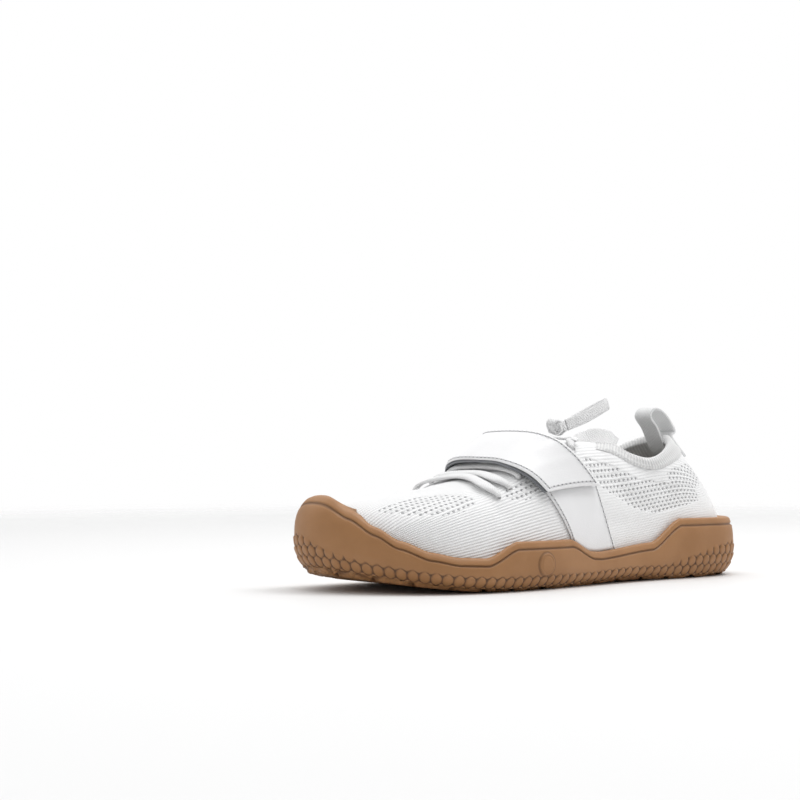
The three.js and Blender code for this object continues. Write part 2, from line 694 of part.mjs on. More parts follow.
function laceGeometry() {
  const start = LACE_CLEARANCE + LACE_THICKNESS / 2;
  const over = start + LACE_LIFT;
  const places = LACE_BARS.flatMap((bar, index) => {
    const half = [
      { turn: bar.low, level: bar.level, distance: start },
      { turn: bar.shoulder, level: bar.shoulderLevel, distance: over },
      { turn: bar.crown, level: bar.crownLevel, distance: over },
    ];
    const across = [...half].reverse().map((place) => ({ ...place, turn: KNOTS - place.turn }));
    return index % 2 ? [...across.reverse(), ...half.reverse()] : [...half, ...across];
  });
  const path = new THREE.CatmullRomCurve3(
    places.map(({ turn, level, distance }) => offsetPoint(turn, level, distance)),
  );
  const normals = places.map(({ turn, level }) => surfaceNormal(turn, level));
  const upAt = (share) => {
    const at = share * (normals.length - 1);
    const base = Math.min(Math.floor(at), normals.length - 2);
    return normals[base].clone().lerp(normals[base + 1], at - base);
  };
  return band(path, LACE_BARS.length * LACE_STEPS, LACE_WIDTH, LACE_THICKNESS, upAt);
}

const KNOT_TURN = 7.35;
const KNOT_OVER = 8.2;
const KNOT_STEPS = 12;

// The middle of the lace's knot, over the throat
function knotCentre() {
  const centre = surfacePoint(KNOT_TURN, 1).lerp(surfacePoint(KNOTS - KNOT_TURN, 1), 1 / 2);
  return centre.setZ(centre.z + KNOT_OVER);
}

function knotGeometry() {
  const ball = bareOf(new THREE.SphereGeometry(1 / 2, KNOT_STEPS, KNOT_STEPS / 2));
  const centre = knotCentre();
  ball.rotateX(Math.PI / 2).scale(KNOT_LENGTH, KNOT_WIDTH, KNOT_HEIGHT);
  return ball.translate(centre.x, centre.y, centre.z);
}

// The bow's loop from the knot's end to its tip and back, in shares of its length
const BOW_ROUTE = [
  { back: 0.0, across: 0.04, rise: 0.03 },
  { back: 0.4, across: 0.11, rise: 0.18 },
  { back: 0.8, across: 0.1, rise: 0.35 },
  { back: 1.0, across: 0.0, rise: 0.41 },
  { back: 0.82, across: -0.12, rise: 0.31 },
  { back: 0.42, across: -0.14, rise: 0.14 },
  { back: 0.0, across: -0.05, rise: 0.0 },
];
const BOW_STEPS = 16;
const BOW_SIDE = new THREE.Vector3(0.3, 0, 1);

function bowGeometry() {
  const start = knotCentre();
  start.x -= KNOT_LENGTH / 2 + KNOT_CLEARANCE;
  const points = BOW_ROUTE.map(({ back, across, rise }) =>
    new THREE.Vector3(-back, across, rise).multiplyScalar(BOW_LENGTH).add(start),
  );
  const path = new THREE.CatmullRomCurve3(points);
  return ribbon(path, BOW_STEPS, LACE_WIDTH, LACE_THICKNESS, BOW_SIDE);
}

const shoe = new THREE.Group();

function addPiece(name, geometry, color, roughness) {
  const material = new THREE.MeshStandardMaterial({ color, roughness, metalness: 0 });
  const mesh = new THREE.Mesh(geometry, material);
  mesh.name = name;
  shoe.add(mesh);
}

const GUM = 0xb4844f;
const KNIT_WHITE = 0xf2f2f0;
const LEATHER_WHITE = 0xf4f4f2;
const LACE_WHITE = 0xf6f6f4;
const WEBBING_GREY = 0xdcdcda;

addPiece("outsole", outsole, GUM, 0.6);
addPiece("upper", upper, KNIT_WHITE, 0.9);
addPiece("insole", insoleGeometry(), KNIT_WHITE, 0.95);
addPiece("tongue", tongueGeometry(), KNIT_WHITE, 0.9);
addPiece("side_panel_lateral", panelGeometry(true), LEATHER_WHITE, 0.5);
addPiece("side_panel_medial", panelGeometry(false), LEATHER_WHITE, 0.5);
addPiece("strap", strapGeometry(), LEATHER_WHITE, 0.5);
addPiece("lace_crossings", laceGeometry(), LACE_WHITE, 0.85);
addPiece("lace_knot", knotGeometry(), LACE_WHITE, 0.85);
addPiece("lace_bow", bowGeometry(), LACE_WHITE, 0.85);
addPiece("pull_loop", pullLoopGeometry(), WEBBING_GREY, 0.85);

export default shoe;
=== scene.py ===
"""Dresses the left training shoe: knit upper, gum cup sole, strap, laces and pull loop.

Lengths in the classes are millimetres from the flat spot under the heel, +X to the toe, +Y to the
outer side of the foot and +Z up. Meshes are written in metres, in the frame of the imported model.
"""

from __future__ import annotations

import logging
import math
from dataclasses import dataclass, field
from enum import Enum
from functools import cached_property
from typing import Callable, NamedTuple, Sequence, Union

import bpy
import numpy as np
from mathutils import Matrix, Vector

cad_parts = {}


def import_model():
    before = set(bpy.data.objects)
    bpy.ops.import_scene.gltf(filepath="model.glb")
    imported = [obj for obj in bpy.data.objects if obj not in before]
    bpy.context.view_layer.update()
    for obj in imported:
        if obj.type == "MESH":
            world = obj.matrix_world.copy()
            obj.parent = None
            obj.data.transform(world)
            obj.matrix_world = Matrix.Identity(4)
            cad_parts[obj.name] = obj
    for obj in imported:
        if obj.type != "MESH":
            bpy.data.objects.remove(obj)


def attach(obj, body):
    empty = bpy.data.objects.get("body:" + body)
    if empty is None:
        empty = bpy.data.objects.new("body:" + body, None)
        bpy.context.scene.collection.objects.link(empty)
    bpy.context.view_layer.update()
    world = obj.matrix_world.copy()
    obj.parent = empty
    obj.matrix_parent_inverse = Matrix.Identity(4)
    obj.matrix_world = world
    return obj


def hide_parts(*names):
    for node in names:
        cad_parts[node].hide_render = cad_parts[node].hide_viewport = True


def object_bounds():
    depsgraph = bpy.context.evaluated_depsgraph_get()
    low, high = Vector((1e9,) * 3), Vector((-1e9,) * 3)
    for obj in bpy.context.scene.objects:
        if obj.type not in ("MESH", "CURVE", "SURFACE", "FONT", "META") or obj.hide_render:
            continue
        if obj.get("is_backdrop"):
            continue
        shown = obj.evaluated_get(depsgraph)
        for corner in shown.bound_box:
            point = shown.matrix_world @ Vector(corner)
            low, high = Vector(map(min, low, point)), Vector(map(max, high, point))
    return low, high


Array = np.ndarray
Colour = tuple[float, float, float]
LOG = logging.getLogger("shoe")
MM = 0.001


class Side(Enum):
    """The two sides of the foot."""

    LATERAL = 1
    MEDIAL = -1


class Slot(Enum):
    """The record's material slots."""

    GUM = "gum_rubber"
    KNIT = "knit"
    LINING = "lining"
    LEATHER = "smooth_leather"
    LACE = "lace"
    WEBBING = "webbing"


def smoothstep(value: Array, low: float, high: float) -> Array:
    """Ease from 0 at low to 1 at high.

    Args:
        value: What is eased.
        low: Where the result is 0.
        high: Where the result is 1.

    Returns:
        The eased share, of the shape of value.
    """
    share = np.clip((np.asarray(value, float) - low) / (high - low), 0.0, 1.0)
    return share * share * (3.0 - 2.0 * share)


def bump_at(value: Array, centre: float, half: float) -> Array:
    """A soft bell of height 1 at centre that reaches 0 a half-width away."""
    share = np.clip(np.abs(np.asarray(value, float) - centre) / half, 0.0, 1.0)
    return (1.0 - share**2) ** 2


class Section(NamedTuple):
    """One section of the last; the columns are shares of the shoe's own sizes."""

    along: float
    lateral: float
    medial: float
    tuck: float
    lean: float
    heel: bool
    rise: float
    reach: float
    crown: float
    rim: float
    rim_lateral: float
    rim_medial: float
    top: float


SECTIONS = (
    Section(0.0, 0.0, 0.0, 0.03, 0.01, True, 0.45, 0.49, 0.79, 0.159, 0.0, 0.0, 1.0),
    Section(0.02, 0.183, -0.18, 0.028, 0.012, True, 0.45, 0.49, 0.79, 0.169, 0.092, -0.09, 0.99),
    Section(0.068, 0.298, -0.288, 0.024, 0.016, True, 0.47, 0.48, 0.77, 0.193, 0.166, -0.16, 0.95),
    Section(0.161, 0.346, -0.332, 0.02, 0.02, True, 0.5, 0.52, 0.74, 0.236, 0.224, -0.212, 0.875),
    Section(0.25, 0.349, -0.317, 0.018, 0.02, True, 0.5, 0.56, 0.72, 0.282, 0.25, -0.225, 0.835),
    Section(0.339, 0.36, -0.317, 0.018, 0.02, True, 0.52, 0.6, 0.76, 0.325, 0.235, -0.215, 0.865),
    Section(0.421, 0.385, -0.337, 0.018, 0.02, False, 0.5, 0.62, 0.82, 0.368, 0.196, -0.19, 0.87),
    Section(0.493, 0.418, -0.375, 0.018, 0.02, False, 0.5, 0.62, 0.86, 0.425, 0.17, -0.168, 0.905),
    Section(0.561, 0.452, -0.418, 0.018, 0.02, False, 0.48, 0.62, 0.85, 0.493, 0.148, -0.148, 0.895),
    Section(0.629, 0.481, -0.46, 0.018, 0.02, False, 0.46, 0.62, 0.79, 0.556, 0.126, -0.128, 0.845),
    Section(0.696, 0.493, -0.495, 0.018, 0.02, False, 0.46, 0.64, 0.69, 0.611, 0.1, -0.104, 0.765),
    Section(0.764, 0.476, -0.508, 0.02, 0.02, False, 0.48, 0.68, 0.61, 0.646, 0.074, -0.08, 0.71),
    Section(0.829, 0.428, -0.505, 0.026, 0.022, False, 0.52, 0.74, 0.545, 0.661, 0.046, -0.058, 0.69),
    Section(0.886, 0.342, -0.478, 0.026, 0.026, False, 0.56, 0.79, 0.505, 0.667, 0.024, -0.042, 0.682),
    Section(0.943, 0.188, -0.425, 0.028, 0.032, False, 0.6, 0.84, 0.49, 0.669, 0.008, -0.03, 0.679),
    Section(0.986, 0.01, -0.327, 0.056, 0.036, False, 0.61, 0.86, 0.485, 0.67, -0.004, -0.021, 0.678),
    Section(1.0, -0.163, -0.163, 0.085, 0.036, False, 0.61, 0.86, 0.485, 0.67, -0.013, -0.013, 0.678),
)

TOP_LINE_LATERAL = (
    (0.0, 0.675), (0.225, 0.685), (0.305, 0.43), (0.46, 0.36), (0.485, 0.37), (0.55, 0.515),
    (0.7, 0.52), (0.765, 0.36), (0.82, 0.372), (0.87, 0.43), (0.915, 0.55), (0.945, 0.685),
    (0.975, 0.85), (1.0, 1.0),
)
TOP_LINE_MEDIAL = (
    (0.0, 0.675), (0.225, 0.67), (0.305, 0.36), (0.5, 0.3), (0.7, 0.3), (0.8, 0.36), (0.87, 0.45),
    (0.93, 0.66), (0.975, 0.88), (1.0, 1.0),
)


@dataclass(frozen=True)
class Last:
    """The shape of the last and of the sole's side, in millimetres from the heel's flat spot."""

    length: float = 280.0
    ball_width: float = 104.0
    instep_height: float = 84.0
    heel_height: float = 78.0
    toe_cap_height: float = 49.0
    heel_spot_share: float = 0.143
    sole_bed: float = 6.5
    lug_depth: float = 1.6
    toe_spring: float = 11.0
    waist_lift: float = 0.8
    sole_wall: float = 5.6
    clearance: float = 0.3
    small: float = 0.02

    @property
    def last_row(self) -> int:
        """The index of the section at the toe's tip."""
        return len(SECTIONS) - 1

    @property
    def knots(self) -> int:
        """How many turns the ring of sections has."""
        return 2 * self.last_row

    @property
    def heel_spot(self) -> float:
        """How far the frame's origin lies before the back of the heel."""
        return self.heel_spot_share * self.length

    @cached_property
    def table(self) -> Array:
        """The sections as rows of sizes, forward on the outer side and back on the inner."""
        rows = []
        for index in range(self.knots):
            lateral = index <= self.last_row
            row = SECTIONS[index if lateral else self.knots - index]
            height = self.heel_height if row.heel else self.instep_height
            rows.append((
                row.along * self.length - self.heel_spot,
                (row.lateral if lateral else row.medial) * self.ball_width,
                row.tuck * self.ball_width,
                row.lean * self.ball_width,
                row.rise * height,
                row.reach,
                row.crown * height,
                row.rim * self.length - self.heel_spot,
                (row.rim_lateral if lateral else row.rim_medial) * self.ball_width,
                row.top * height,
            ))
        return np.array(rows)

    def ring(self, turn: Array) -> Array:
        """Read the ring of sections between its knots.

        Args:
            turn: Places round the shoe, 0 at the heel and 16 at the toe.

        Returns:
            The table's columns at each place.
        """
        turn = np.asarray(turn, float)
        base = np.floor(turn).astype(int)
        s = (turn - base)[..., None]
        a, b, c, d = (self.table[(base + step) % self.knots] for step in (-1, 0, 1, 2))
        return 0.5 * (2 * b + (c - a) * s + (2 * a - 5 * b + 4 * c - d) * s**2
                      + (3 * b - a - 3 * c + d) * s**3)

    def outward(self, turn: Array) -> Array:
        """The outward directions of the sole's outline at some turns."""
        before, after = self.ring(turn - self.small), self.ring(turn + self.small)
        out = np.stack([before[..., 1] - after[..., 1], after[..., 0] - before[..., 0],
                        np.zeros_like(before[..., 0])], -1)
        return out / np.linalg.norm(out, axis=-1, keepdims=True)

    def lift(self, x: Array) -> Array:
        """How far the tread stands off the floor: toe spring and the waist's shallow arch."""
        along = (x + self.heel_spot) / self.length
        spring = np.maximum(0, (along - 0.7) / 0.3)
        waist = np.maximum(0, 1 - ((along - 0.37) / 0.13) ** 2)
        return self.toe_spring * spring**2 + self.waist_lift * waist**2

    def top_line(self, turn: Array) -> Array:
        """The height of the sole's top line at some turns."""
        along = np.clip((self.ring(turn)[..., 0] + self.heel_spot) / self.length, 0, 1)
        lateral = (turn % self.knots) <= self.last_row
        outer = self._eased(TOP_LINE_LATERAL, along)
        inner = self._eased(TOP_LINE_MEDIAL, along)
        return np.where(lateral, outer, inner) * self.toe_cap_height

    @staticmethod
    def _eased(rows: Sequence[tuple[float, float]], along: Array) -> Array:
        """Heights between the rows of a top line, with its steps eased."""
        xs, hs = np.array(rows).T
        at = np.clip(np.searchsorted(xs, along) - 1, 0, len(xs) - 2)
        s = (along - xs[at]) / (xs[at + 1] - xs[at])
        smooth = s * s * (3 - 2 * s)
        return hs[at] + (hs[at + 1] - hs[at]) * (s + smooth) / 2

    def surface(self, turn: Array, level: Array) -> Array:
        """Points of the upper's outer face.

        Args:
            turn: Places round the shoe.
            level: Shares of the way from the wall's foot to the edge of the opening.

        Returns:
            A point for each pair.
        """
        turn, level = np.broadcast_arrays(np.asarray(turn, float), np.asarray(level, float))
        ring, out = self.ring(turn), self.outward(turn)
        foot = np.stack([ring[..., 0], ring[..., 1], np.zeros_like(turn)], -1) - out * self.sole_wall
        foot[..., 2] = self.lift(foot[..., 0]) + self.sole_bed + self.clearance
        swell = foot + out * ring[..., 3:4]
        swell[..., 2] = ring[..., 4]
        rim = ring[..., 7:10]
        shoulder = rim + (foot - rim) * ring[..., 5:6]
        shoulder[..., 2] = ring[..., 6]
        t = level[..., None]
        return ((1 - t) ** 3 * foot + 3 * (1 - t) ** 2 * t * swell + 3 * (1 - t) * t**2 * shoulder
                + t**3 * rim)

    def normal(self, turn: Array, level: Array) -> Array:
        """The outward directions of the upper's face."""
        step = 0.01
        level = np.clip(level, step, 1 - step)
        around = self.surface(turn + self.small, level) - self.surface(turn - self.small, level)
        up = self.surface(turn, level + step) - self.surface(turn, level - step)
        out = np.cross(up, around)
        return out / np.linalg.norm(out, axis=-1, keepdims=True)

    def offset(self, turn: Array, level: Array, distance: Array) -> Array:
        """Points at a distance outside the upper's face, or inside it when negative."""
        return self.surface(turn, level) + self.normal(turn, level) * np.asarray(distance)[..., None]


Number = Union["Value", float]


class Value:
    """A number in a shader, held as an output socket, with the usual operators."""

    def __init__(self, shader: Nodes, socket: bpy.types.NodeSocket) -> None:
        """Hold a socket of a shader."""
        self.shader = shader
        self.socket = socket

    def __add__(self, other: Number) -> Value:
        """Sum."""
        return self.shader.maths("ADD", self, other)

    def __radd__(self, other: Number) -> Value:
        """Sum, from the right."""
        return self.shader.maths("ADD", other, self)

    def __sub__(self, other: Number) -> Value:
        """Difference."""
        return self.shader.maths("SUBTRACT", self, other)

    def __rsub__(self, other: Number) -> Value:
        """Difference, from the right."""
        return self.shader.maths("SUBTRACT", other, self)

    def __mul__(self, other: Number) -> Value:
        """Product."""
        return self.shader.maths("MULTIPLY", self, other)

    def __rmul__(self, other: Number) -> Value:
        """Product, from the right."""
        return self.shader.maths("MULTIPLY", other, self)

    def __truediv__(self, other: Number) -> Value:
        """Quotient."""
        return self.shader.maths("DIVIDE", self, other)

    def __rtruediv__(self, other: Number) -> Value:
        """Quotient, from the right."""
        return self.shader.maths("DIVIDE", other, self)

    def __neg__(self) -> Value:
        """Negative."""
        return self.shader.maths("MULTIPLY", self, -1.0)

    def __pow__(self, other: Number) -> Value:
        """Power."""
        return self.shader.maths("POWER", self, other)

    def __abs__(self) -> Value:
        """Size without sign."""
        return self.shader.maths("ABSOLUTE", self)

    def sine(self) -> Value:
        """Sine of radians."""
        return self.shader.maths("SINE", self)

    def floor(self) -> Value:
        """Whole part."""
        return self.shader.maths("FLOOR", self)

    def fraction(self) -> Value:
        """What is left over the whole part."""
        return self.shader.maths("FRACT", self)

    def root(self) -> Value:
        """Square root."""
        return self.shader.maths("SQRT", self)

    def least(self, other: Number) -> Value:
        """The smaller of the two."""
        return self.shader.maths("MINIMUM", self, other)

    def most(self, other: Number) -> Value:
        """The larger of the two."""
        return self.shader.maths("MAXIMUM", self, other)

    def eased(self, low: float, high: float) -> Value:
        """Ease from 0 at low to 1 at high."""
        limits = {"Value": self, "From Min": low, "From Max": high}
        node = self.shader.node("ShaderNodeMapRange", {"interpolation_type": "SMOOTHSTEP"}, limits)
        return Value(self.shader, node.outputs["Result"])

    def wave(self, pitch: float) -> Value:
        """A wave between 0 and 1 with the given pitch, 1 at the multiples of it."""
        return self.shader.maths("COSINE", self * (2.0 * math.pi / pitch)) * 0.5 + 0.5


class Tone:
    """A colour in a shader, held as an output socket."""

    def __init__(self, shader: Nodes, socket: bpy.types.NodeSocket) -> None:
        """Hold a colour socket of a shader."""
        self.shader = shader
        self.socket = socket


Input = Union[Value, Tone, float, int, Colour, bpy.types.NodeSocket]


class Nodes:
    """A node tree, written as sums of values."""

    def __init__(self, owner: bpy.types.Material | bpy.types.World) -> None:
        """Start an empty tree.

        Args:
            owner: The material or world whose tree it is.
        """
        owner.use_nodes = True
        self.tree = owner.node_tree
        self.tree.nodes.clear()

    def node(
        self,
        kind: str,
        settings: dict[str, object] | None = None,
        inputs: dict[str | int, Input] | None = None,
    ) -> bpy.types.Node:
        """Add a node.

        Args:
            kind: The node's type.
            settings: Its properties, set before its sockets.
            inputs: Socket values or what is linked to them, by name or place.

        Returns:
            The node.
        """
        node = self.tree.nodes.new(kind)
        for key, value in (settings or {}).items():
            setattr(node, key, value)
        for key, value in (inputs or {}).items():
            self.feed(node.inputs[key], value)
        return node

    def feed(self, socket: bpy.types.NodeSocket, value: Input) -> None:
        """Link a socket to a value or a colour, or set it to a constant."""
        if isinstance(value, (Value, Tone)):
            self.tree.links.new(value.socket, socket)
        elif isinstance(value, bpy.types.NodeSocket):
            self.tree.links.new(value, socket)
        elif isinstance(value, tuple):
            socket.default_value = (*value, 1.0) if socket.type == "RGBA" else value
        else:
            socket.default_value = value

    def maths(self, operation: str, *terms: Number) -> Value:
        """A Math node of one or two terms.

        Args:
            operation: The node's operation.
            terms: Values or constants.

        Returns:
            The result.
        """
        node = self.node("ShaderNodeMath", {"operation": operation}, dict(enumerate(terms)))
        return Value(self, node.outputs[0])

    def attribute(self, name: str) -> Value:
        """A number stored with the mesh's points."""
        node = self.node("ShaderNodeAttribute", {"attribute_name": name})
        return Value(self, node.outputs["Fac"])

    def place(self) -> bpy.types.NodeSocket:
        """The point's own coordinates in metres."""
        return self.node("ShaderNodeTexCoord").outputs["Object"]

    def joined(self, x: Number, y: Number, z: Number = 0.0) -> bpy.types.NodeSocket:
        """A vector of three numbers."""
        return self.node("ShaderNodeCombineXYZ", None, {0: x, 1: y, 2: z}).outputs[0]

    def noise(
        self, scale: float, detail: float = 3.0, at: bpy.types.NodeSocket | None = None
    ) -> Value:
        """Soft noise between 0 and 1.

        Args:
            scale: Waves for each unit of the coordinates.
            detail: How many finer layers it has.
            at: The coordinates, or the point's own in metres.

        Returns:
            The noise.
        """
        inputs = {"Vector": at or self.place(), "Scale": scale, "Detail": detail}
        return Value(self, self.node("ShaderNodeTexNoise", None, inputs).outputs["Fac"])

    def mixed(self, share: Number, low: Input, high: Input) -> Tone:
        """A mix of two colours.

        Args:
            share: How much of the second colour it holds.
            low: The first colour.
            high: The second colour.

        Returns:
            The mixed colour.
        """
        settings = {"data_type": "RGBA", "clamp_factor": True}
        node = self.node("ShaderNodeMix", settings, {0: share, 6: low, 7: high})
        return Tone(self, node.outputs[2])


class Shader(Nodes):
    """A material with a principled surface."""

    def __init__(self, name: str) -> None:
        """Start the material.

        Args:
            name: The material's name.
        """
        self.material = bpy.data.materials.new(name)
        super().__init__(self.material)
        self.surface = self.node("ShaderNodeBsdfPrincipled")
        self.node("ShaderNodeOutputMaterial", None, {"Surface": self.surface.outputs["BSDF"]})

    def dress(
        self,
        colour: Input,
        roughness: Input,
        height: Value | None = None,
        depth: float = 0.0005,
        **constants: float | Colour,
    ) -> bpy.types.Material:
        """Give the surface its looks.

        Args:
            colour: The base colour.
            roughness: The roughness.
            height: The relief, 0 to 1, or none.
            depth: What a height of 1 stands for, in metres.
            constants: Other sockets of the surface, with underscores for spaces.

        Returns:
            The finished material.
        """
        self.feed(self.surface.inputs["Base Color"], colour)
        self.feed(self.surface.inputs["Roughness"], roughness)
        if height is not None:
            relief = {"Height": height, "Distance": depth, "Strength": 1.0}
            bump = self.node("ShaderNodeBump", None, relief)
            self.feed(self.surface.inputs["Normal"], bump.outputs["Normal"])
        for key, value in constants.items():
            self.feed(self.surface.inputs[key.replace("_", " ")], value)
        return self.material


def grid_faces(rows: int, columns: int, wrap: bool = False, loop: bool = False) -> Array:
    """The quads of a grid of points.

    Args:
        rows: How many rows of points.
        columns: How many points in a row.
        wrap: Whether the last column joins the first.
        loop: Whether the last row joins the first.

    Returns:
        Four indices for each quad, facing out when columns run left to right and rows go up.
    """
    across = columns if wrap else columns - 1
    down = rows if loop else rows - 1
    row, column = np.meshgrid(np.arange(down), np.arange(across), indexing="ij")
    after, above = (column + 1) % columns, (row + 1) % rows
    corners = [row * columns + column, row * columns + after, above * columns + after,
               above * columns + column]
    return np.stack([corner.ravel() for corner in corners], -1)


@dataclass
class Body:
    """Points and quads of one piece, gathered from grids, in millimetres."""

    name: str
    points: list[Array] = field(default_factory=list)
    quads: list[Array] = field(default_factory=list)
    values: dict[str, list[Array]] = field(default_factory=dict)
    count: int = 0

    def add(
        self,
        grid: Array,
        wrap: bool = False,
        loop: bool = False,
        turned: bool = False,
        **values: Array,
    ) -> None:
        """Add a grid of points.

        Args:
            grid: Rows by columns by three.
            wrap: Whether the last column joins the first.
            loop: Whether the last row joins the first.
            turned: Whether its faces look the other way.
            values: Numbers for each point, kept as attributes.
        """
        rows, columns = grid.shape[:2]
        faces = grid_faces(rows, columns, wrap, loop) + self.count
        self.points.append(grid.reshape(-1, 3))
        self.quads.append(faces[:, ::-1] if turned else faces)
        for key in set(values) | set(self.values):
            known = self.values.setdefault(key, [np.zeros(self.count)] if self.count else [])
            known.append(np.broadcast_to(values.get(key, 0.0), (rows, columns)).ravel())
        self.count += rows * columns

    def build(self, material: bpy.types.Material) -> bpy.types.Object:
        """Make the mesh object.

        Args:
            material: Its material.

        Returns:
            The object, in the scene.
        """
        points, quads = np.concatenate(self.points) * MM, np.concatenate(self.quads)
        mesh = bpy.data.meshes.new(self.name)
        mesh.vertices.add(len(points))
        mesh.vertices.foreach_set("co", points.ravel())
        mesh.loops.add(quads.size)
        mesh.loops.foreach_set("vertex_index", quads.ravel())
        mesh.polygons.add(len(quads))
        mesh.polygons.foreach_set("loop_start", np.arange(len(quads)) * 4)
        mesh.polygons.foreach_set("use_smooth", np.ones(len(quads), bool))
        mesh.update(calc_edges=True)
        mesh.validate()
        for key, parts in self.values.items():
            layer = mesh.attributes.new(key, "FLOAT", "POINT")
            layer.data.foreach_set("value", np.concatenate(parts))
        mesh.materials.append(material)
        made = bpy.data.objects.new(self.name, mesh)
        bpy.context.scene.collection.objects.link(made)
        return made


def finished(made: bpy.types.Object, slot: Slot, *nodes: str) -> bpy.types.Object:
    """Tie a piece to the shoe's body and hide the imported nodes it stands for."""
    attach(made, "root")
    if nodes:
        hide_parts(*nodes)
    LOG.info("%s: %d faces", made.name, len(made.data.polygons) if made.type == "MESH" else 0)
    return made


def spline(points: Sequence[Sequence[float]] | Array, count: int) -> Array:
    """A Catmull-Rom curve through points, read at even steps of its length.

    Args:
        points: What the curve runs through, with any further numbers after the three places.
        count: How many points are read.

    Returns:
        The read points.
    """
    knots = np.asarray(points, float)
    padded = np.concatenate([2 * knots[:1] - knots[1:2], knots, 2 * knots[-1:] - knots[-2:-1]])
    t = np.linspace(0, len(knots) - 1, 40 * len(knots))
    base = np.minimum(t.astype(int), len(knots) - 2)
    s = (t - base)[:, None]
    a, b, c, d = (padded[base + step] for step in range(4))
    fine = 0.5 * (2 * b + (c - a) * s + (2 * a - 5 * b + 4 * c - d) * s**2
                  + (3 * b - a - 3 * c + d) * s**3)
    return evenly(fine, count)


def evenly(line: Array, count: int) -> Array:
    """Points at even steps along a line of points, and what comes after their three places."""
    steps = np.linalg.norm(np.diff(line[:, :3], axis=0), axis=1)
    gone = np.concatenate([[0], np.cumsum(steps)])
    wanted = np.linspace(0, gone[-1], count)
    return np.stack([np.interp(wanted, gone, column) for column in line.T], -1)


def run_length(line: Array) -> float:
    """The length of a line of points."""
    return float(np.linalg.norm(np.diff(line, axis=0), axis=1).sum())


def tube(line: Array, ups: Array, width: Array | float, height: Array | float, sides: int,
         boxy: float = 2.0) -> Array:
    """The rings of a flat or round tube.

    Args:
        line: Its centreline.
        ups: The direction of its height at each point.
        width: Its full width, one number or one for each point.
        height: Its full height, likewise.
        sides: Points in each ring.
        boxy: The exponent of the section's outline, 2 for an ellipse and more for a flatter one.

    Returns:
        Rings by sides by three.
    """
    ahead = np.gradient(line, axis=0)
    ahead /= np.linalg.norm(ahead, axis=1, keepdims=True)
    side = np.cross(ahead, ups)
    side /= np.linalg.norm(side, axis=1, keepdims=True)
    up = np.cross(side, ahead)
    angle = np.arange(sides) * 2 * np.pi / sides
    c, s = np.cos(angle), np.sin(angle)
    across = np.sign(c) * np.abs(c) ** (2 / boxy)
    over = np.sign(s) * np.abs(s) ** (2 / boxy)
    width = np.broadcast_to(width, len(line))[:, None, None] / 2
    height = np.broadcast_to(height, len(line))[:, None, None] / 2
    return (line[:, None] + side[:, None] * across[None, :, None] * width
            + up[:, None] * over[None, :, None] * height)


def lines_near(points: Array, line: Array) -> tuple[Array, Array]:
    """How far points lie from a line, and where along it.

    Args:
        points: Points in any grid.
        line: The line's own points.

    Returns:
        Distances, and shares of the line's length.
    """
    flat = points.reshape(-1, 3)
    best = np.full(len(flat), np.inf)
    share = np.zeros(len(flat))
    for index, (start, end) in enumerate(zip(line[:-1], line[1:])):
        run = end - start
        t = np.clip(((flat - start) @ run) / (run @ run), 0, 1)
        gap = np.linalg.norm(flat - start - t[:, None] * run, axis=1)
        nearer = gap < best
        best[nearer] = gap[nearer]
        share[nearer] = (index + t[nearer]) / (len(line) - 1)
    return best.reshape(points.shape[:-1]), share.reshape(points.shape[:-1])


def linear(red: int, green: int, blue: int) -> Colour:
    """The linear colour of display values from 0 to 255."""
    shares = (red / 255, green / 255, blue / 255)
    low, high = (lambda s: s / 12.92), (lambda s: ((s + 0.055) / 1.055) ** 2.4)
    return tuple(low(share) if share <= 0.04045 else high(share) for share in shares)


@dataclass(frozen=True)
class KnitFinish:
    """White ribbed knit with patches of openwork; lengths in millimetres."""

    name: str = "knit"
    white: Colour = linear(246, 246, 246)
    shade: Colour = linear(222, 223, 224)
    hole_shade: Colour = linear(158, 158, 161)
    rib_pitch: float = 1.45
    stitch_pitch: float = 1.15
    hole_pitch: float = 3.3
    hole_row: float = 2.5
    relief: float = 0.00034

    def make(self) -> bpy.types.Material:
        """Build the material from the mesh's u, v, openwork and ribbed numbers."""
        shader = Shader(self.name)
        u, v = shader.attribute("u"), shader.attribute("v")
        openwork, ribbed = shader.attribute("openwork"), shader.attribute("ribbed")
        wobble = shader.noise(180.0, 2.0) - 0.5
        v = v + wobble * 0.35
        rib = v.wave(self.rib_pitch)
        odd = (v / self.rib_pitch + 0.5).floor() * 0.5
        stitch = (u + odd * self.stitch_pitch + abs((v / self.rib_pitch).fraction() - 0.5) * 0.9)
        stitch = stitch.wave(self.stitch_pitch)
        row = v / self.hole_row
        step = (row.floor() * 0.5).fraction()
        across = (u / self.hole_pitch + step).fraction() - 0.5
        down = row.fraction() - 0.5
        lean = across + down * 0.3
        oval = ((lean * lean) * 9.5 + (down * down) * 12.0).root()
        inner = (lean + 0.13) * (lean + 0.13) * 14.0 + (down - 0.12) * (down - 0.12) * 20.0
        gap = (1.0 - oval.eased(0.62, 0.95)) * inner.root().eased(0.45, 0.8)
        gap = gap * openwork.eased(0.35, 0.65)
        loop = (1.0 - abs(oval - 1.05).eased(0.0, 0.3)) * openwork
        valley = (1.0 - rib) * (0.25 + ribbed * 0.75)
        # painted shade: rib valleys and the gaps between stitches are mixed toward the shade colour,
        # and the raised openwork loops are kept lighter
        darker_share = (valley * 0.55 + (1.0 - stitch) * 0.18).least(1.0) * (1.0 - loop * 0.6)
        ground = shader.mixed(darker_share, self.white, self.shade)
        # painted shade: the openwork holes are mixed toward a grey that stands for the shaded lining
        # seen through them
        colour = shader.mixed(gap * 0.9, ground, self.hole_shade)
        height = rib * (0.2 + ribbed * 0.6) + stitch * 0.22 + loop * 0.45 - gap * 1.6
        return shader.dress(colour, 0.92, height, self.relief, Sheen_Weight=0.25,
                            Sheen_Roughness=0.6, Specular_IOR_Level=0.25)


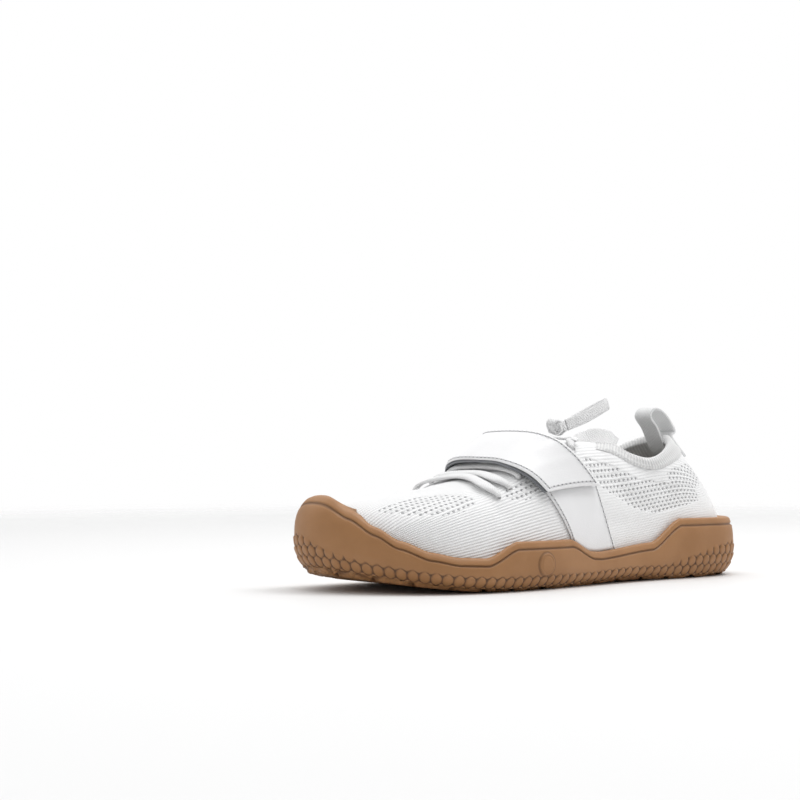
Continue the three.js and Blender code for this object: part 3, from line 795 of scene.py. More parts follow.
@dataclass(frozen=True)
class CuffFinish:
    """The rolled rim's yarn, ribbed square to the rim."""

    name: str = "cuff knit"
    white: Colour = linear(242, 242, 241)
    shade: Colour = linear(210, 210, 211)
    stitch_pitch: float = 0.9

    def make(self) -> bpy.types.Material:
        """Build the material from the mesh's rib, 0 in a valley and 1 on a ridge, and u."""
        shader = Shader(self.name)
        rib, u = shader.attribute("rib"), shader.attribute("u")
        stitch = (u + abs(rib - 0.5)).wave(self.stitch_pitch)
        fuzz = shader.noise(1600.0, 2.0)
        # painted shade: the rib valleys and the gaps between stitches are mixed toward the shade
        # colour
        colour = shader.mixed((1.0 - rib) * 0.6 + (1.0 - stitch) * 0.15, self.white, self.shade)
        height = stitch * 0.35 + fuzz * 0.3 + rib * 0.4
        return shader.dress(colour, 0.93, height, 0.00025, Sheen_Weight=0.3,
                            Specular_IOR_Level=0.2)


@dataclass(frozen=True)
class GumFinish:
    """Slightly worn gum rubber."""

    name: str = "gum rubber"
    light: Colour = linear(163, 117, 73)
    dark: Colour = linear(148, 104, 63)
    # painted shade colour for grooves and hollows
    groove: Colour = linear(56, 34, 18)

    def make(self) -> bpy.types.Material:
        """Build the material from the mesh's shade, 1 in grooves and under the scales."""
        shader = Shader(self.name)
        shade = shader.attribute("shade")
        cloud = shader.noise(45.0, 4.0).eased(0.35, 0.7)
        speck = shader.noise(900.0, 2.0)
        ground = shader.mixed(cloud * 0.55, self.light, self.dark)
        # painted shade: where the mesh's shade number is high (grooves, crescents under the scales,
        # the ring round the badge) the colour is pulled toward the dark groove colour
        colour = shader.mixed(shade * 0.85, ground, self.groove)
        roughness = 0.42 + cloud * 0.12 + speck * 0.08
        return shader.dress(colour, roughness, speck * 0.5 + cloud * 0.5, 0.00008,
                            Subsurface_Weight=0.06, Subsurface_Scale=0.004,
                            Subsurface_Radius=(1.0, 0.5, 0.25))


@dataclass(frozen=True)
class LeatherFinish:
    """Smooth white coated leather with a fine grain."""

    name: str = "smooth leather"
    white: Colour = linear(238, 238, 239)
    worn: Colour = linear(227, 227, 228)

    def make(self) -> bpy.types.Material:
        """Build the material."""
        shader = Shader(self.name)
        cloud = shader.noise(28.0, 4.0)
        cells = shader.node("ShaderNodeTexVoronoi", {"feature": "SMOOTH_F1"},
                            {"Vector": shader.place(), "Scale": 1700.0})
        grain = Value(shader, cells.outputs["Distance"])
        colour = shader.mixed(cloud.eased(0.45, 0.75) * 0.5, self.white, self.worn)
        height = grain * 0.35 + cloud * 1.5
        return shader.dress(colour, 0.4 + cloud * 0.15, height, 0.00016, Coat_Weight=0.12,
                            Coat_Roughness=0.35)


@dataclass(frozen=True)
class RibbedFinish:
    """A fabric with fine ribs along the mesh's u, used for linings, tapes and webbing."""

    name: str
    light: Colour
    dark: Colour
    pitch: float
    cross_pitch: float = 1.0
    relief: float = 0.0003
    roughness: float = 0.9

    def make(self) -> bpy.types.Material:
        """Build the material from the mesh's u and v."""
        shader = Shader(self.name)
        u, v = shader.attribute("u"), shader.attribute("v")
        rib = v.wave(self.pitch)
        cross = (u + (v / self.pitch + 0.5).floor() * (self.cross_pitch / 2)).wave(self.cross_pitch)
        cloud = shader.noise(60.0, 3.0)
        # painted shade: the rib valleys and the gaps in the cross weave are mixed toward the dark
        # colour; the cloud noise adds random tone
        darker_share = ((1.0 - rib) * 0.55 + (1.0 - cross) * 0.3 + cloud * 0.25).least(1.0)
        colour = shader.mixed(darker_share, self.light, self.dark)
        return shader.dress(colour, self.roughness, rib * 0.7 + cross * 0.4, self.relief,
                            Sheen_Weight=0.2, Specular_IOR_Level=0.25)


@dataclass(frozen=True)
class BraidFinish:
    """Braided lace yarn: two sets of slanting strands."""

    name: str = "lace braid"
    white: Colour = linear(246, 246, 246)
    shade: Colour = linear(214, 214, 215)
    pitch: float = 1.5

    def make(self) -> bpy.types.Material:
        """Build the material from the mesh's u along the lace and v round it."""
        shader = Shader(self.name)
        u, v = shader.attribute("u"), shader.attribute("v")
        left, right = (u + v).wave(self.pitch), (u - v).wave(self.pitch)
        weave = left.most(right)
        fuzz = shader.noise(1500.0, 2.0)
        # painted shade: the lace is darker between its braided strands
        colour = shader.mixed((1.0 - weave) * 0.8, self.white, self.shade)
        return shader.dress(colour, 0.88, weave * 0.7 + fuzz * 0.3, 0.00032, Sheen_Weight=0.25,
                            Specular_IOR_Level=0.25)


@dataclass(frozen=True)
class ThreadFinish:
    """Sewing thread, and the painted shade of the needle holes that it lies in."""

    name: str = "thread"
    colour: Colour = linear(214, 214, 215)
    hole_shade: Colour = linear(128, 128, 132)

    def make(self) -> bpy.types.Material:
        """Build the material from the mesh's gap, 1 between the stitches."""
        shader = Shader(self.name)
        # painted shade: between the stitches the colour is the dark shade of the needle holes
        colour = shader.mixed(shader.attribute("gap"), self.colour, self.hole_shade)
        return shader.dress(colour, 0.7, shader.noise(2500.0, 2.0), 0.0001)


def hex_depth(x: Array, y: Array, pitch: float) -> tuple[Array, Array, Array]:
    """How deep points lie inside the cells of a hexagon grid with a cell at the origin.

    Args:
        x: Places along the grid's rows.
        y: Places across them.
        pitch: The distance between neighbours' centres.

    Returns:
        The depth inside the cell's edge, and the place from its centre along x and along y.
    """
    rise = pitch * math.sqrt(3.0)
    best = None
    for shift_x, shift_y in ((0.0, 0.0), (pitch / 2, rise / 2)):
        dx, dy = np.broadcast_arrays((x - shift_x + pitch / 2) % pitch - pitch / 2,
                                     (y - shift_y + rise / 2) % rise - rise / 2)
        reach = np.maximum.reduce([np.abs(dx), np.abs(dx / 2 + dy * math.sqrt(0.75)),
                                   np.abs(dx / 2 - dy * math.sqrt(0.75))])
        now = np.stack([pitch / 2 - reach, dx, dy])
        best = now if best is None else np.where(now[0] > best[0], now, best)
    return best[0], best[1], best[2]


@dataclass
class Outsole:
    """The gum cup sole: side with bead, groove and scales, badge boss and hexagon tread."""

    last: Last
    stations: int = 1080
    rows: int = 58
    bottom_tuck: float = 5.0
    widest_share: float = 0.42
    bead: float = 3.6
    groove: float = 0.9
    lip_round: float = 1.1
    lip_drop: float = 2.2
    lip_reach: float = 9.0
    cup_clearance: float = 0.4
    tread_inset: float = 8.0
    tuck_curve: float = 3.6
    lug_width: float = 17.4
    lug_groove: float = 2.6
    lug_margin: float = 5.5
    scale_pitch: float = 6.0
    scale_height: float = 1.05
    toe_scales: float = 8.5
    badge_diameter: float = 12.0
    badge_depth: float = 0.8
    badge_place: tuple[float, float] = (136.7, 13.3)

    @cached_property
    def turns(self) -> Array:
        """Turns at even steps of the sole's outline."""
        fine = np.linspace(0, self.last.knots, 6001)
        line = self.last.ring(fine)[:, :2]
        gone = np.concatenate([[0], np.cumsum(np.linalg.norm(np.diff(line, axis=0), axis=1))])
        wanted = np.arange(self.stations) * gone[-1] / self.stations
        return np.interp(wanted, gone, fine)

    @cached_property
    def gone(self) -> Array:
        """How far along the outline each station lies, from the heel on the outer side."""
        line = self.last.ring(self.turns)[:, :2]
        return np.concatenate([[0], np.cumsum(np.linalg.norm(np.diff(line, axis=0), axis=1))])

    def side_depth(self, share: Array, tuck: Array) -> Array:
        """How far the side lies inside its widest line at a share of its height."""
        low = self.bottom_tuck * np.clip(1 - share / self.widest_share, 0, 1) ** 2.2
        above = np.clip((share - self.widest_share) / (1 - self.widest_share), 0, 1)
        return low + tuck * above**self.tuck_curve

    def scale_area(self, x: Array, y: Array, height: Array) -> Array:
        """Where the side carries scales: the toe, the foot of the waist and the heel's triangle.

        Args:
            x: Places along the shoe.
            y: Places across it.
            height: Heights over the tread.

        Returns:
            1 where there are scales, 0 where the side is plain.
        """
        along = (x + self.last.heel_spot) / self.last.length
        limit = np.interp(along, [0.0, 0.06, 0.14, 0.26, 0.3, 0.55, 0.66, 0.76, 0.88, 0.96, 1.0],
                          [17.0, 18.0, 14.5, 6.8, 6.2, 5.6, 6.4, 6.2, 5.8, 6.6, 9.5])
        limit = limit + self.toe_scales * smoothstep(-y, -2, 34) * smoothstep(along, 0.9, 0.97)
        return 1 - smoothstep(height, limit - 0.8, limit + 0.8)

    def scales(self, gone: Array, height: Array) -> tuple[Array, Array]:
        """Upright oval scales with a hollow under each.

        Args:
            gone: Place along the outline.
            height: Height over the tread.

        Returns:
            The relief from 0 to 1, and the shade of the crescents.
        """
        deep, dx, dy = hex_depth(gone, height - 3.0, self.scale_pitch)
        oval = np.sqrt((dx / (self.scale_pitch * 0.45)) ** 2 + (dy / (self.scale_pitch * 0.5)) ** 2)
        dome = np.clip(1 - oval**5, 0, 1)
        # painted shade: the hollow under each scale is marked for darkening
        crescent = smoothstep(deep, 0.0, 0.35) * (1 - smoothstep(oval, 0.86, 1.12))
        return np.sqrt(dome) * (0.7 + 0.3 * np.clip(dy / self.scale_pitch * 2, -1, 1)), 1 - crescent

    def side(self) -> tuple[Array, Array]:
        """The side from the tread's edge to the lip.

        Returns:
            The grid and the shade of its points.
        """
        turn = self.turns[None, :]
        share = np.linspace(0, 1, self.rows)[:, None]
        ring, out = self.last.ring(turn), self.last.outward(turn)
        x, tuck = ring[..., 0], ring[..., 2]
        low = self.last.lift(x) + self.last.lug_depth
        top = self.last.top_line(turn)
        height = low + share * (top - low)
        drop = top - height
        depth = self.side_depth(share, tuck)
        lip = np.clip(self.lip_round - drop, 0, self.lip_round)
        depth = depth + self.lip_round - np.sqrt(self.lip_round**2 - lip**2)
        line = bump_at(drop, self.bead + self.groove / 2, self.groove)
        depth = depth + self.groove * line
        over = height - low
        lateral = turn <= self.last.last_row
        area = self.scale_area(x, ring[..., 1], over) * (1 - smoothstep(share, 0.84, 0.9))
        relief, crescent = self.scales(self.gone[None, :], over)
        depth = depth - area * self.scale_height * (relief - 0.35)
        middle_x, middle_z = self.badge_place
        reach = np.hypot(x - middle_x, height - middle_z)
        badge = (1 - smoothstep(reach, self.badge_diameter / 2 - 0.5, self.badge_diameter / 2))
        badge = np.where(lateral, badge, 0)
        ring_line = bump_at(reach, self.badge_diameter / 2 - 1.5, 0.5) * badge
        depth = depth * (1 - badge) + (depth - self.badge_depth) * badge + 0.35 * ring_line
        grid = np.stack(np.broadcast_arrays(x, ring[..., 1], height), -1) - out * depth[..., None]
        grid[..., 2] = height
        badge_rim_shade = bump_at(reach, self.badge_diameter / 2 + 0.2, 0.9) * lateral
        # painted shade: the crescent under each scale, the bead's groove line and a ring round the
        # badge are stored as shade for the rubber's colour
        shade = np.maximum(area * crescent * (1 - badge), line * 0.7)
        shade = np.maximum(shade, 0.55 * badge_rim_shade)
        return grid, shade

    def tread_height(self, x: Array, y: Array, margin: Array) -> Array:
        """How far the tread stands over the lugs' faces at points, 0 on a lug.

        Args:
            x: Places along the shoe.
            y: Places across it.
            margin: How far the points lie inside the outline.

        Returns:
            Heights from 0 to the lugs' depth.
        """
        deep, _, _ = hex_depth(x, y, self.lug_width + self.lug_groove)
        lug = smoothstep(deep, self.lug_groove / 2 - 0.35, self.lug_groove / 2 + 0.35)
        lug = lug * smoothstep(margin, self.lug_margin - 0.8, self.lug_margin)
        fine, _, _ = hex_depth(x, y, (self.lug_width + self.lug_groove) / 3)
        cut = 1 - smoothstep(fine, 0.15, 0.6)
        return self.last.lug_depth * (1 - lug) + 0.5 * cut * lug

    def bottom(self, edge: Array) -> tuple[Array, Array]:
        """The tread between the two sides' foot lines.

        Args:
            edge: The side's lowest row.

        Returns:
            The grid and the shade of its points.
        """
        half = self.stations // 2
        pick = np.unique(np.linspace(0, half, 330).astype(int))
        outer, inner = edge[pick], edge[(self.stations - pick) % self.stations]
        share = np.linspace(0, 1, 72)[None, :, None]
        grid = outer[:, None] * (1 - share) + inner[:, None] * share
        margin, _ = lines_near(grid * (1, 1, 0), edge[:: max(1, self.stations // 160)] * (1, 1, 0))
        margin = margin + self.bottom_tuck
        over = self.tread_height(grid[..., 0], grid[..., 1], margin)
        inner_share = smoothstep(margin, self.bottom_tuck + 0.2, self.lug_margin + 1.5)
        faces = self.last.lift(grid[..., 0]) + over
        grid[..., 2] = grid[..., 2] * (1 - inner_share) + faces * inner_share
        # painted shade: the tread's grooves are stored as shade for the rubber's colour
        return grid, over / self.last.lug_depth * 0.6

    def lip_level(self, turn: Array) -> Array:
        """The upper's level that the lip rests against, never far inside the side's top edge.

        Args:
            turn: Places round the shoe.

        Returns:
            A level for each place.
        """
        ring, out = self.last.ring(turn), self.last.outward(turn)
        edge = ring[:, :2] - out[:, :2] * ring[:, 2:3]
        levels = np.linspace(0, 1, 201)[:, None]
        reach = np.linalg.norm(self.last.surface(turn[None, :], levels)[..., :2] - edge, axis=-1)
        widest = (levels * (reach < self.lip_reach)).max(axis=0)
        return np.minimum(self.level_at(turn), np.maximum(widest, levels[1]))

    def level_at(self, turn: Array) -> Array:
        """The upper's level just below the lip's height.

        Args:
            turn: Places round the shoe.

        Returns:
            A level for each place.
        """
        wanted = self.last.top_line(turn) - self.lip_drop
        low, high = np.zeros_like(turn), np.ones_like(turn)
        for _ in range(20):
            middle = (low + high) / 2
            under = self.last.surface(turn, middle)[..., 2] < wanted
            low, high = np.where(under, middle, low), np.where(under, high, middle)
        return low

    def build(self, material: bpy.types.Material) -> bpy.types.Object:
        """Build the sole.

        Args:
            material: Its rubber.

        Returns:
            The sole's object.
        """
        body = Body("gum_cup_sole")
        side, shade = self.side()
        level = self.lip_level(self.turns)
        cup = [self.last.offset(self.turns, level * share, self.cup_clearance * np.ones_like(level))
               for share in (1.0, 0.85, 0.6, 0.3, 0.0)]
        bed = cup[-1] * (1, 1, 0)
        bed[..., 2] = self.last.lift(bed[..., 0]) + self.last.sole_bed
        body.add(np.concatenate([side, np.stack([*cup, bed])]), wrap=True,
                 shade=np.concatenate([shade, np.zeros((6, self.stations))]))
        grid, under = self.bottom(side[0])
        body.add(grid, turned=True, shade=under)
        half = self.stations // 2
        pick = np.arange(0, half + 1, 4)
        share = np.linspace(0, 1, 3)[None, :, None]
        floor = bed[pick][:, None] * (1 - share) + bed[(-pick) % self.stations][:, None] * share
        body.add(floor)
        made = body.build(material)
        return finished(made, Slot.GUM, "outsole")


class Crease(NamedTuple):
    """A soft fold: the turns and levels it runs through, its height (below 0 a trough), its width."""

    places: tuple[tuple[float, float], ...]
    height: float
    half: float


FRONT_CREASES = (
    Crease(((11.9, 0.86), (11.5, 0.72), (11.3, 0.58)), -0.9, 5.0),
    Crease(((12.8, 0.8), (12.4, 0.66), (12.2, 0.5)), -0.6, 5.5),
    Crease(((12.3, 0.84), (12.0, 0.7), (11.8, 0.52)), 0.55, 4.5),
    Crease(((13.7, 0.84), (13.5, 0.68), (13.6, 0.5)), -0.45, 7.0),
    Crease(((10.9, 0.66), (10.7, 0.5), (10.3, 0.36)), -0.6, 4.5),
    Crease(((14.6, 0.9), (15.4, 0.8), (16.4, 0.82), (17.4, 0.9)), -0.5, 8.0),
)
QUARTER_CREASES = (
    Crease(((6.3, 0.78), (5.9, 0.6), (5.3, 0.45)), -0.8, 5.5),
    Crease(((5.5, 0.72), (4.9, 0.58), (4.2, 0.5)), 0.5, 5.5),
    Crease(((4.4, 0.72), (3.8, 0.58), (3.2, 0.52)), -0.55, 6.0),
    Crease(((2.4, 0.84), (2.2, 0.66), (2.3, 0.5)), -0.4, 7.0),
    Crease(((6.6, 0.3), (5.9, 0.24), (5.2, 0.26)), -0.5, 6.0),
)


@dataclass
class Upper:
    """The hollow knit upper with its openwork patches and main creases."""

    last: Last
    wall: float = 2.0
    stations: int = 560
    levels: int = 112
    chart_radius: float = 42.0
    chart_height: float = 15.0
    rib_slope: float = 10.0
    rib_turn: float = 0.9
    rib_start: float = 120.0
    patches: tuple[tuple[tuple[float, float], ...], ...] = (
        ((14.3, 0.43), (12.9, 0.43), (11.7, 0.49), (11.45, 0.56), (11.67, 0.66), (12.5, 0.73),
         (13.3, 0.77), (13.95, 0.72), (14.15, 0.57)),
        ((10.15, 0.65), (9.6, 0.64), (9.05, 0.56), (9.2, 0.49), (9.9, 0.52)),
        ((7.1, 0.74), (6.4, 0.7), (5.6, 0.7), (4.8, 0.68), (3.6, 0.66), (2.7, 0.62), (2.55, 0.46),
         (3.4, 0.42), (4.83, 0.38), (5.6, 0.44), (6.5, 0.52), (7.0, 0.62)),
        ((3.3, 0.8), (2.6, 0.79), (1.8, 0.76), (1.7, 0.66), (2.4, 0.57), (3.2, 0.6)),
    )

    def chart(self, points: Array) -> tuple[Array, Array]:
        """Coordinates of the knit: along the shoe, and across its ribs, in millimetres."""
        round_by = np.arctan2(points[..., 1], points[..., 2] - self.chart_height)
        across = round_by * self.chart_radius
        slope = math.tan(math.radians(self.rib_slope)) * np.clip(round_by / self.rib_turn, -1, 1)
        rise = slope * (points[..., 0] - self.rib_start)
        return points[..., 0] / math.cos(math.radians(self.rib_slope)), across - rise

    def inside(self, turn: Array, level: Array, outline: Sequence[tuple[float, float]]) -> Array:
        """How far points lie inside a patch.

        Args:
            turn: Places round the shoe.
            level: Levels of the wall.
            outline: The patch's corners as turns and levels.

        Returns:
            1 inside, 0 outside, soft at the edge.
        """
        corners = np.array([(t * 14.0, v * 100.0) for t, v in outline])
        middle = corners.mean(axis=0)
        here = np.stack([turn * 14.0, level * 100.0], -1) - middle
        angle = np.arctan2(here[..., 1], here[..., 0])
        spokes = corners - middle
        directions = np.arctan2(spokes[:, 1], spokes[:, 0])
        order = np.argsort(directions)
        limit = np.interp(angle, directions[order], np.linalg.norm(spokes, axis=1)[order],
                          period=2 * np.pi)
        return 1 - smoothstep(np.linalg.norm(here, axis=-1) - limit, -1.5, 1.5)

    def openwork(self, turn: Array, level: Array) -> Array:
        """Where the knit is open, on both sides of the foot."""
        mirrored = np.where(turn > self.last.last_row, self.last.knots - turn, turn)
        masks = [self.inside(mirrored, level, outline) for outline in self.patches]
        return np.maximum.reduce(masks)

    def ribbed(self, turn: Array, level: Array) -> Array:
        """How strongly the knit is ribbed: the forefoot and the quarter, not the heel's foot."""
        mirrored = np.where(turn > self.last.last_row, self.last.knots - turn, turn)
        front = smoothstep(mirrored, 6.5, 8.0)
        rear = 0.45 * smoothstep(level, 0.4, 0.6)
        return np.maximum(front, rear)

    def relief(self, turn: Array, level: Array, points: Array) -> Array:
        """The height of creases and lumps over the smooth last.

        Args:
            turn: Places round the shoe.
            level: Levels of the wall.
            points: The smooth surface there.

        Returns:
            Heights in millimetres.
        """
        total = np.zeros(points.shape[:-1])
        for side in Side:
            for crease in (*FRONT_CREASES, *QUARTER_CREASES):
                places = np.array(crease.places)
                row = places[:, 0] if side is Side.LATERAL else self.last.knots - places[:, 0]
                line = spline(self.last.surface(row, places[:, 1]), 14)
                gap, share = lines_near(points, line)
                fade = np.sin(np.pi * np.clip(share, 0.04, 0.96)) ** 0.6
                total += crease.height * fade * np.exp(-((gap / crease.half) ** 2))
        x, y, z = np.moveaxis(points, -1, 0)
        lumps = np.sin(x / 11.0 + np.sin(y / 17.0)) * np.sin(z / 9.0 + x / 29.0)
        return total + 0.22 * lumps * smoothstep(level, 0.2, 0.4)

    def build(self, material: bpy.types.Material, lining: bpy.types.Material) -> None:
        """Build the outer face and the lining.

        Args:
            material: The knit.
            lining: The fabric inside.
        """
        turn = np.arange(self.stations)[None, :] * self.last.knots / self.stations
        level = np.concatenate([[0.0, 0.1], np.linspace(0.16, 1.0, self.levels)])[:, None]
        turn, level = np.broadcast_arrays(turn, level)
        smooth = self.last.surface(turn, level)
        openwork = self.openwork(turn, level)
        height = self.relief(turn, level, smooth) - 0.25 * openwork
        held = smoothstep(level, 0.12, 0.3) * (1 - smoothstep(level, 0.97, 1.0))
        grid = smooth + self.last.normal(turn, level) * (height * held)[..., None]
        u, v = self.chart(smooth)
        rim_in = self.last.offset(turn[-1], level[-1], np.full(self.stations, -self.wall))
        rim = self.last.offset(turn[-1], level[-1], np.full(self.stations, -self.wall / 2))
        rim[..., 2] += 0.6
        edge = np.stack([rim, rim_in])
        body = Body("knit_upper")
        rows = np.concatenate([grid, edge])
        again = [np.concatenate([part, part[-1:], part[-1:]]) for part in (u, v)]
        body.add(rows, wrap=True, u=again[0], v=again[1],
                 openwork=np.concatenate([openwork, np.zeros((2, self.stations))]),
                 ribbed=np.concatenate([self.ribbed(turn, level), np.ones((2, self.stations))]))
        made = body.build(material)
        finished(made, Slot.KNIT, "upper")
        inner = Body("upper_lining")
        turn = np.arange(200)[None, :] * self.last.knots / 200
        level = np.linspace(1.0, 0.0, 34)[:, None]
        turn, level = np.broadcast_arrays(turn, level)
        grid = self.last.offset(turn, level, np.full(turn.shape, -self.wall))
        u, v = self.chart(grid)
        inner.add(grid, wrap=True, u=v, v=u)
        finished(inner.build(lining), Slot.LINING)


@dataclass
class Cuff:
    """The ribbed collar band with its thick rolled rim, and its turn into the shoe."""

    last: Last
    wall: float = 2.0
    front_turn: float = 6.6
    low_level: float = 0.86
    roll: float = 2.3
    step: float = 1.0
    rib_pitch: float = 1.9
    stations: int = 1200

    def build(self, material: bpy.types.Material) -> bpy.types.Object:
        """Build the cuff.

        Args:
            material: Its yarn.

        Returns:
            The cuff's object.
        """
        turn = np.linspace(-self.front_turn, self.front_turn, self.stations)
        rim = self.last.surface(turn, np.ones_like(turn))
        gone = np.concatenate([[0], np.cumsum(np.linalg.norm(np.diff(rim, axis=0), axis=1))])
        rib = 0.5 + 0.5 * np.cos(gone * 2 * np.pi / self.rib_pitch)
        ends = smoothstep(gone, 0, 9) * (1 - smoothstep(gone, gone[-1] - 9, gone[-1]))
        out = self.last.normal(turn, np.full_like(turn, 0.97))
        rows = []
        for level in np.linspace(self.low_level, 0.98, 9):
            proud = 0.1 + self.step * smoothstep(np.full_like(turn, level), self.low_level, 0.89)
            swell = 0.55 * smoothstep(np.full_like(turn, level), 0.93, 1.0)
            distance = (proud + swell) * (0.1 + 0.9 * ends) + 0.4 * (rib - 0.5) * ends
            rows.append(self.last.offset(turn, np.full_like(turn, level), distance))
        centre = rim - out * self.wall / 2
        for angle in np.linspace(0.15, math.pi - 0.1, 9):
            reach = (self.wall / 2 + (self.roll - self.wall / 2) * ends) + 0.3 * (rib - 0.5) * ends
            side = out * (math.cos(angle) * reach)[:, None]
            rise = np.array([0, 0, 1]) * (math.sin(angle) * reach)[:, None]
            rows.append(centre + side + rise)
        for level in np.linspace(0.97, 0.84, 5):
            inside = -(self.wall + 0.35 * smoothstep(np.full_like(turn, level), 0.84, 0.9)) - 0.1
            rows.append(self.last.offset(turn, np.full_like(turn, level), inside))
        grid = np.stack(rows)
        body = Body("collar_cuff")
        body.add(grid, rib=np.broadcast_to(rib, grid.shape[:2]),
                 u=np.broadcast_to(np.arange(len(rows))[:, None] * 1.1, grid.shape[:2]))
        return finished(body.build(material), Slot.KNIT)


@dataclass
class Insole:
    """The thin removable sock lining."""

    last: Last
    depth: float = 8.5
    thickness: float = 3.5

    def build(self, material: bpy.types.Material) -> bpy.types.Object:
        """Build the insole as strips between the two sides.

        Args:
            material: Its fabric.

        Returns:
            The insole's object.
        """
        half = 120
        turn = np.linspace(0, self.last.knots, 2 * half, endpoint=False)
        ring, out = self.last.ring(turn), self.last.outward(turn)
        edge = np.stack([ring[:, 0], ring[:, 1], 0 * turn], -1) - out * self.depth
        edge[:, 2] = self.last.lift(edge[:, 0]) + self.last.sole_bed + self.last.clearance
        pick = np.arange(half + 1)
        share = np.linspace(0, 1, 30)[None, :, None]
        top = edge[pick][:, None] * (1 - share) + edge[(-pick) % (2 * half)][:, None] * share
        dish = 1 - np.abs(2 * share[..., 0] - 1) ** 4
        round_off = 0.6 * (1 - dish)
        top[..., 2] += self.thickness - round_off
        body = Body("insole_pad")
        body.add(top, turned=False, u=top[..., 0], v=top[..., 1])
        rim = np.stack([edge, edge + (0, 0, self.thickness - 0.6)])
        body.add(rim, wrap=True, u=rim[..., 0], v=rim[..., 1])
        return finished(body.build(material), Slot.LINING, "insole")


def crossing(last: Last, turn_at: Callable[[float], float], levels: Sequence[float],
             distance: float, rise: float, count: int) -> Array:
    """A line over the throat from the inner side of the foot to the outer.

    Args:
        last: The shoe's shape.
        turn_at: The place on the ring for a level.
        levels: Where the line is pinned on each side.
        distance: How far it lies outside the wall.
        rise: What it gains over the throat.
        count: How many points it has.

    Returns:
        The line's points.
    """
    sides = []
    for lateral in (False, True):
        row = np.array([turn_at(level) for level in levels])
        turn = row if lateral else last.knots - row
        gain = rise * smoothstep(np.array(levels), levels[0], 1.0)
        sides.append(last.offset(turn, np.array(levels), distance + gain))
    return spline(np.concatenate([sides[0], sides[1][::-1]]), count)


def normals_of(grid: Array) -> Array:
    """The directions that a grid of points faces."""
    out = np.cross(np.gradient(grid, axis=1), np.gradient(grid, axis=0))
    return out / np.maximum(np.linalg.norm(out, axis=-1, keepdims=True), 1e-9)


def padded_plate(body: Body, face: Array, thickness: float, edge: float, **values: Array) -> None:
    """Add a plate with rounded edges under a grid that is its middle face.

    Args:
        body: What it is added to.
        face: Rows by columns by three.
        thickness: The plate's thickness.
        edge: How far in from the border the rounding starts, as a count of grid steps.
        values: Numbers for each point.
    """
    rows, columns = face.shape[:2]
    row = np.minimum(np.arange(rows), np.arange(rows)[::-1])[:, None]
    column = np.minimum(np.arange(columns), np.arange(columns)[::-1])[None, :]
    near = np.clip(np.minimum(row, column) / edge, 0, 1)
    half = thickness / 2 * np.sqrt(1 - (1 - near) ** 2)
    out = normals_of(face)
    body.add(face + out * half[..., None], **values)
    body.add(face - out * half[..., None], turned=True, **values)


def stitches(body: Body, line: Array, out: Array, pitch: float, size: float = 0.75) -> None:
    """Add a row of stitches along a line, with a strip of painted shade for the needle holes between
    them.

    Args:
        body: What they are added to.
        line: The seam's points, on the surface.
        out: The surface's direction there.
        pitch: The distance between stitches.
        size: The thread's thickness.
    """
    count = max(2, int(run_length(line) / pitch))
    both = evenly(np.concatenate([line, out], axis=1), 6 * count + 1)
    path, ups = both[:, :3], both[:, 3:]
    for start in range(0, 6 * count, 6):
        run, up = path[start:start + 7], ups[start:start + 7]
        spot = run[0] + (run[-1] - run[0]) * np.linspace(-0.17, 0.17, 4)[:, None] + up[0] * 0.04
        # painted shade: a dark strip standing for the shade in the needle holes between stitches
        hole_shade = tube(spot, np.broadcast_to(up[0], spot.shape), size, 0.14, 6)
        body.add(hole_shade, wrap=True, gap=np.ones(hole_shade.shape[:2]))
        place = np.linspace(0.2, 0.8, 6)[:, None]
        arch = np.sin(np.linspace(0, np.pi, 6))[:, None]
        thread = run[0] + (run[-1] - run[0]) * place + up[3] * (arch * size * 0.5)
        body.add(tube(thread, np.broadcast_to(up[3], thread.shape), size, size * 0.8, 6), wrap=True)


@dataclass
class SidePanel:
    """The smooth side panel from the sole's lip to beneath the strap."""

    last: Last
    side: Side
    top: float = 0.62
    front: tuple[float, float] = (7.7, 10.1)
    rear: tuple[float, float] = (5.8, 7.5)
    thickness: float = 1.1
    stitch_pitch: float = 3.0

    def face(self, inset: float = 0.0) -> Array:
        """The panel's middle face, or a smaller one inside its edges."""
        up, across = np.meshgrid(np.linspace(inset, 1 - inset, 90),
                                 np.linspace(inset, 1 - inset, 70), indexing="ij")
        guess = up * self.top
        front = self.front[0] + (self.front[1] - self.front[0]) * guess
        rear = self.rear[0] + (self.rear[1] - self.rear[0]) * guess
        row = front + (rear - front) * across
        turn = row if self.side is Side.LATERAL else self.last.knots - row
        low = self.low_level(turn)
        level = low + (self.top - low) * up
        return self.last.offset(turn, level, np.full(turn.shape, 0.3 + self.thickness / 2))

    def low_level(self, turn: Array) -> Array:
        """The level at which the panel meets the sole's lip."""
        wanted = self.last.top_line(turn) + self.last.clearance
        low, high = np.zeros_like(turn), np.ones_like(turn)
        for _ in range(20):
            middle = (low + high) / 2
            under = self.last.surface(turn, middle)[..., 2] < wanted
            low, high = np.where(under, middle, low), np.where(under, high, middle)
        return low

    def build(self, leather: bpy.types.Material, thread: bpy.types.Material) -> None:
        """Build the panel and its two rows of stitches.

        Args:
            leather: The panel's material.
            thread: The stitches' material.
        """
        word = self.side.name.lower()
        face = self.face()
        if self.side is Side.MEDIAL:
            face = face[:, ::-1]
        body = Body(f"panel_{word}")
        padded_plate(body, face, self.thickness, 3)
        finished(body.build(leather), Slot.LEATHER, f"side_panel_{word}")
        seam = Body(f"panel_stitches_{word}")
        out = normals_of(face)
        lift = out * self.thickness / 2
        for column in (3, face.shape[1] - 4):
            stitches(seam, (face + lift)[:, column], out[:, column], self.stitch_pitch)
        finished(seam.build(thread), Slot.LEATHER)


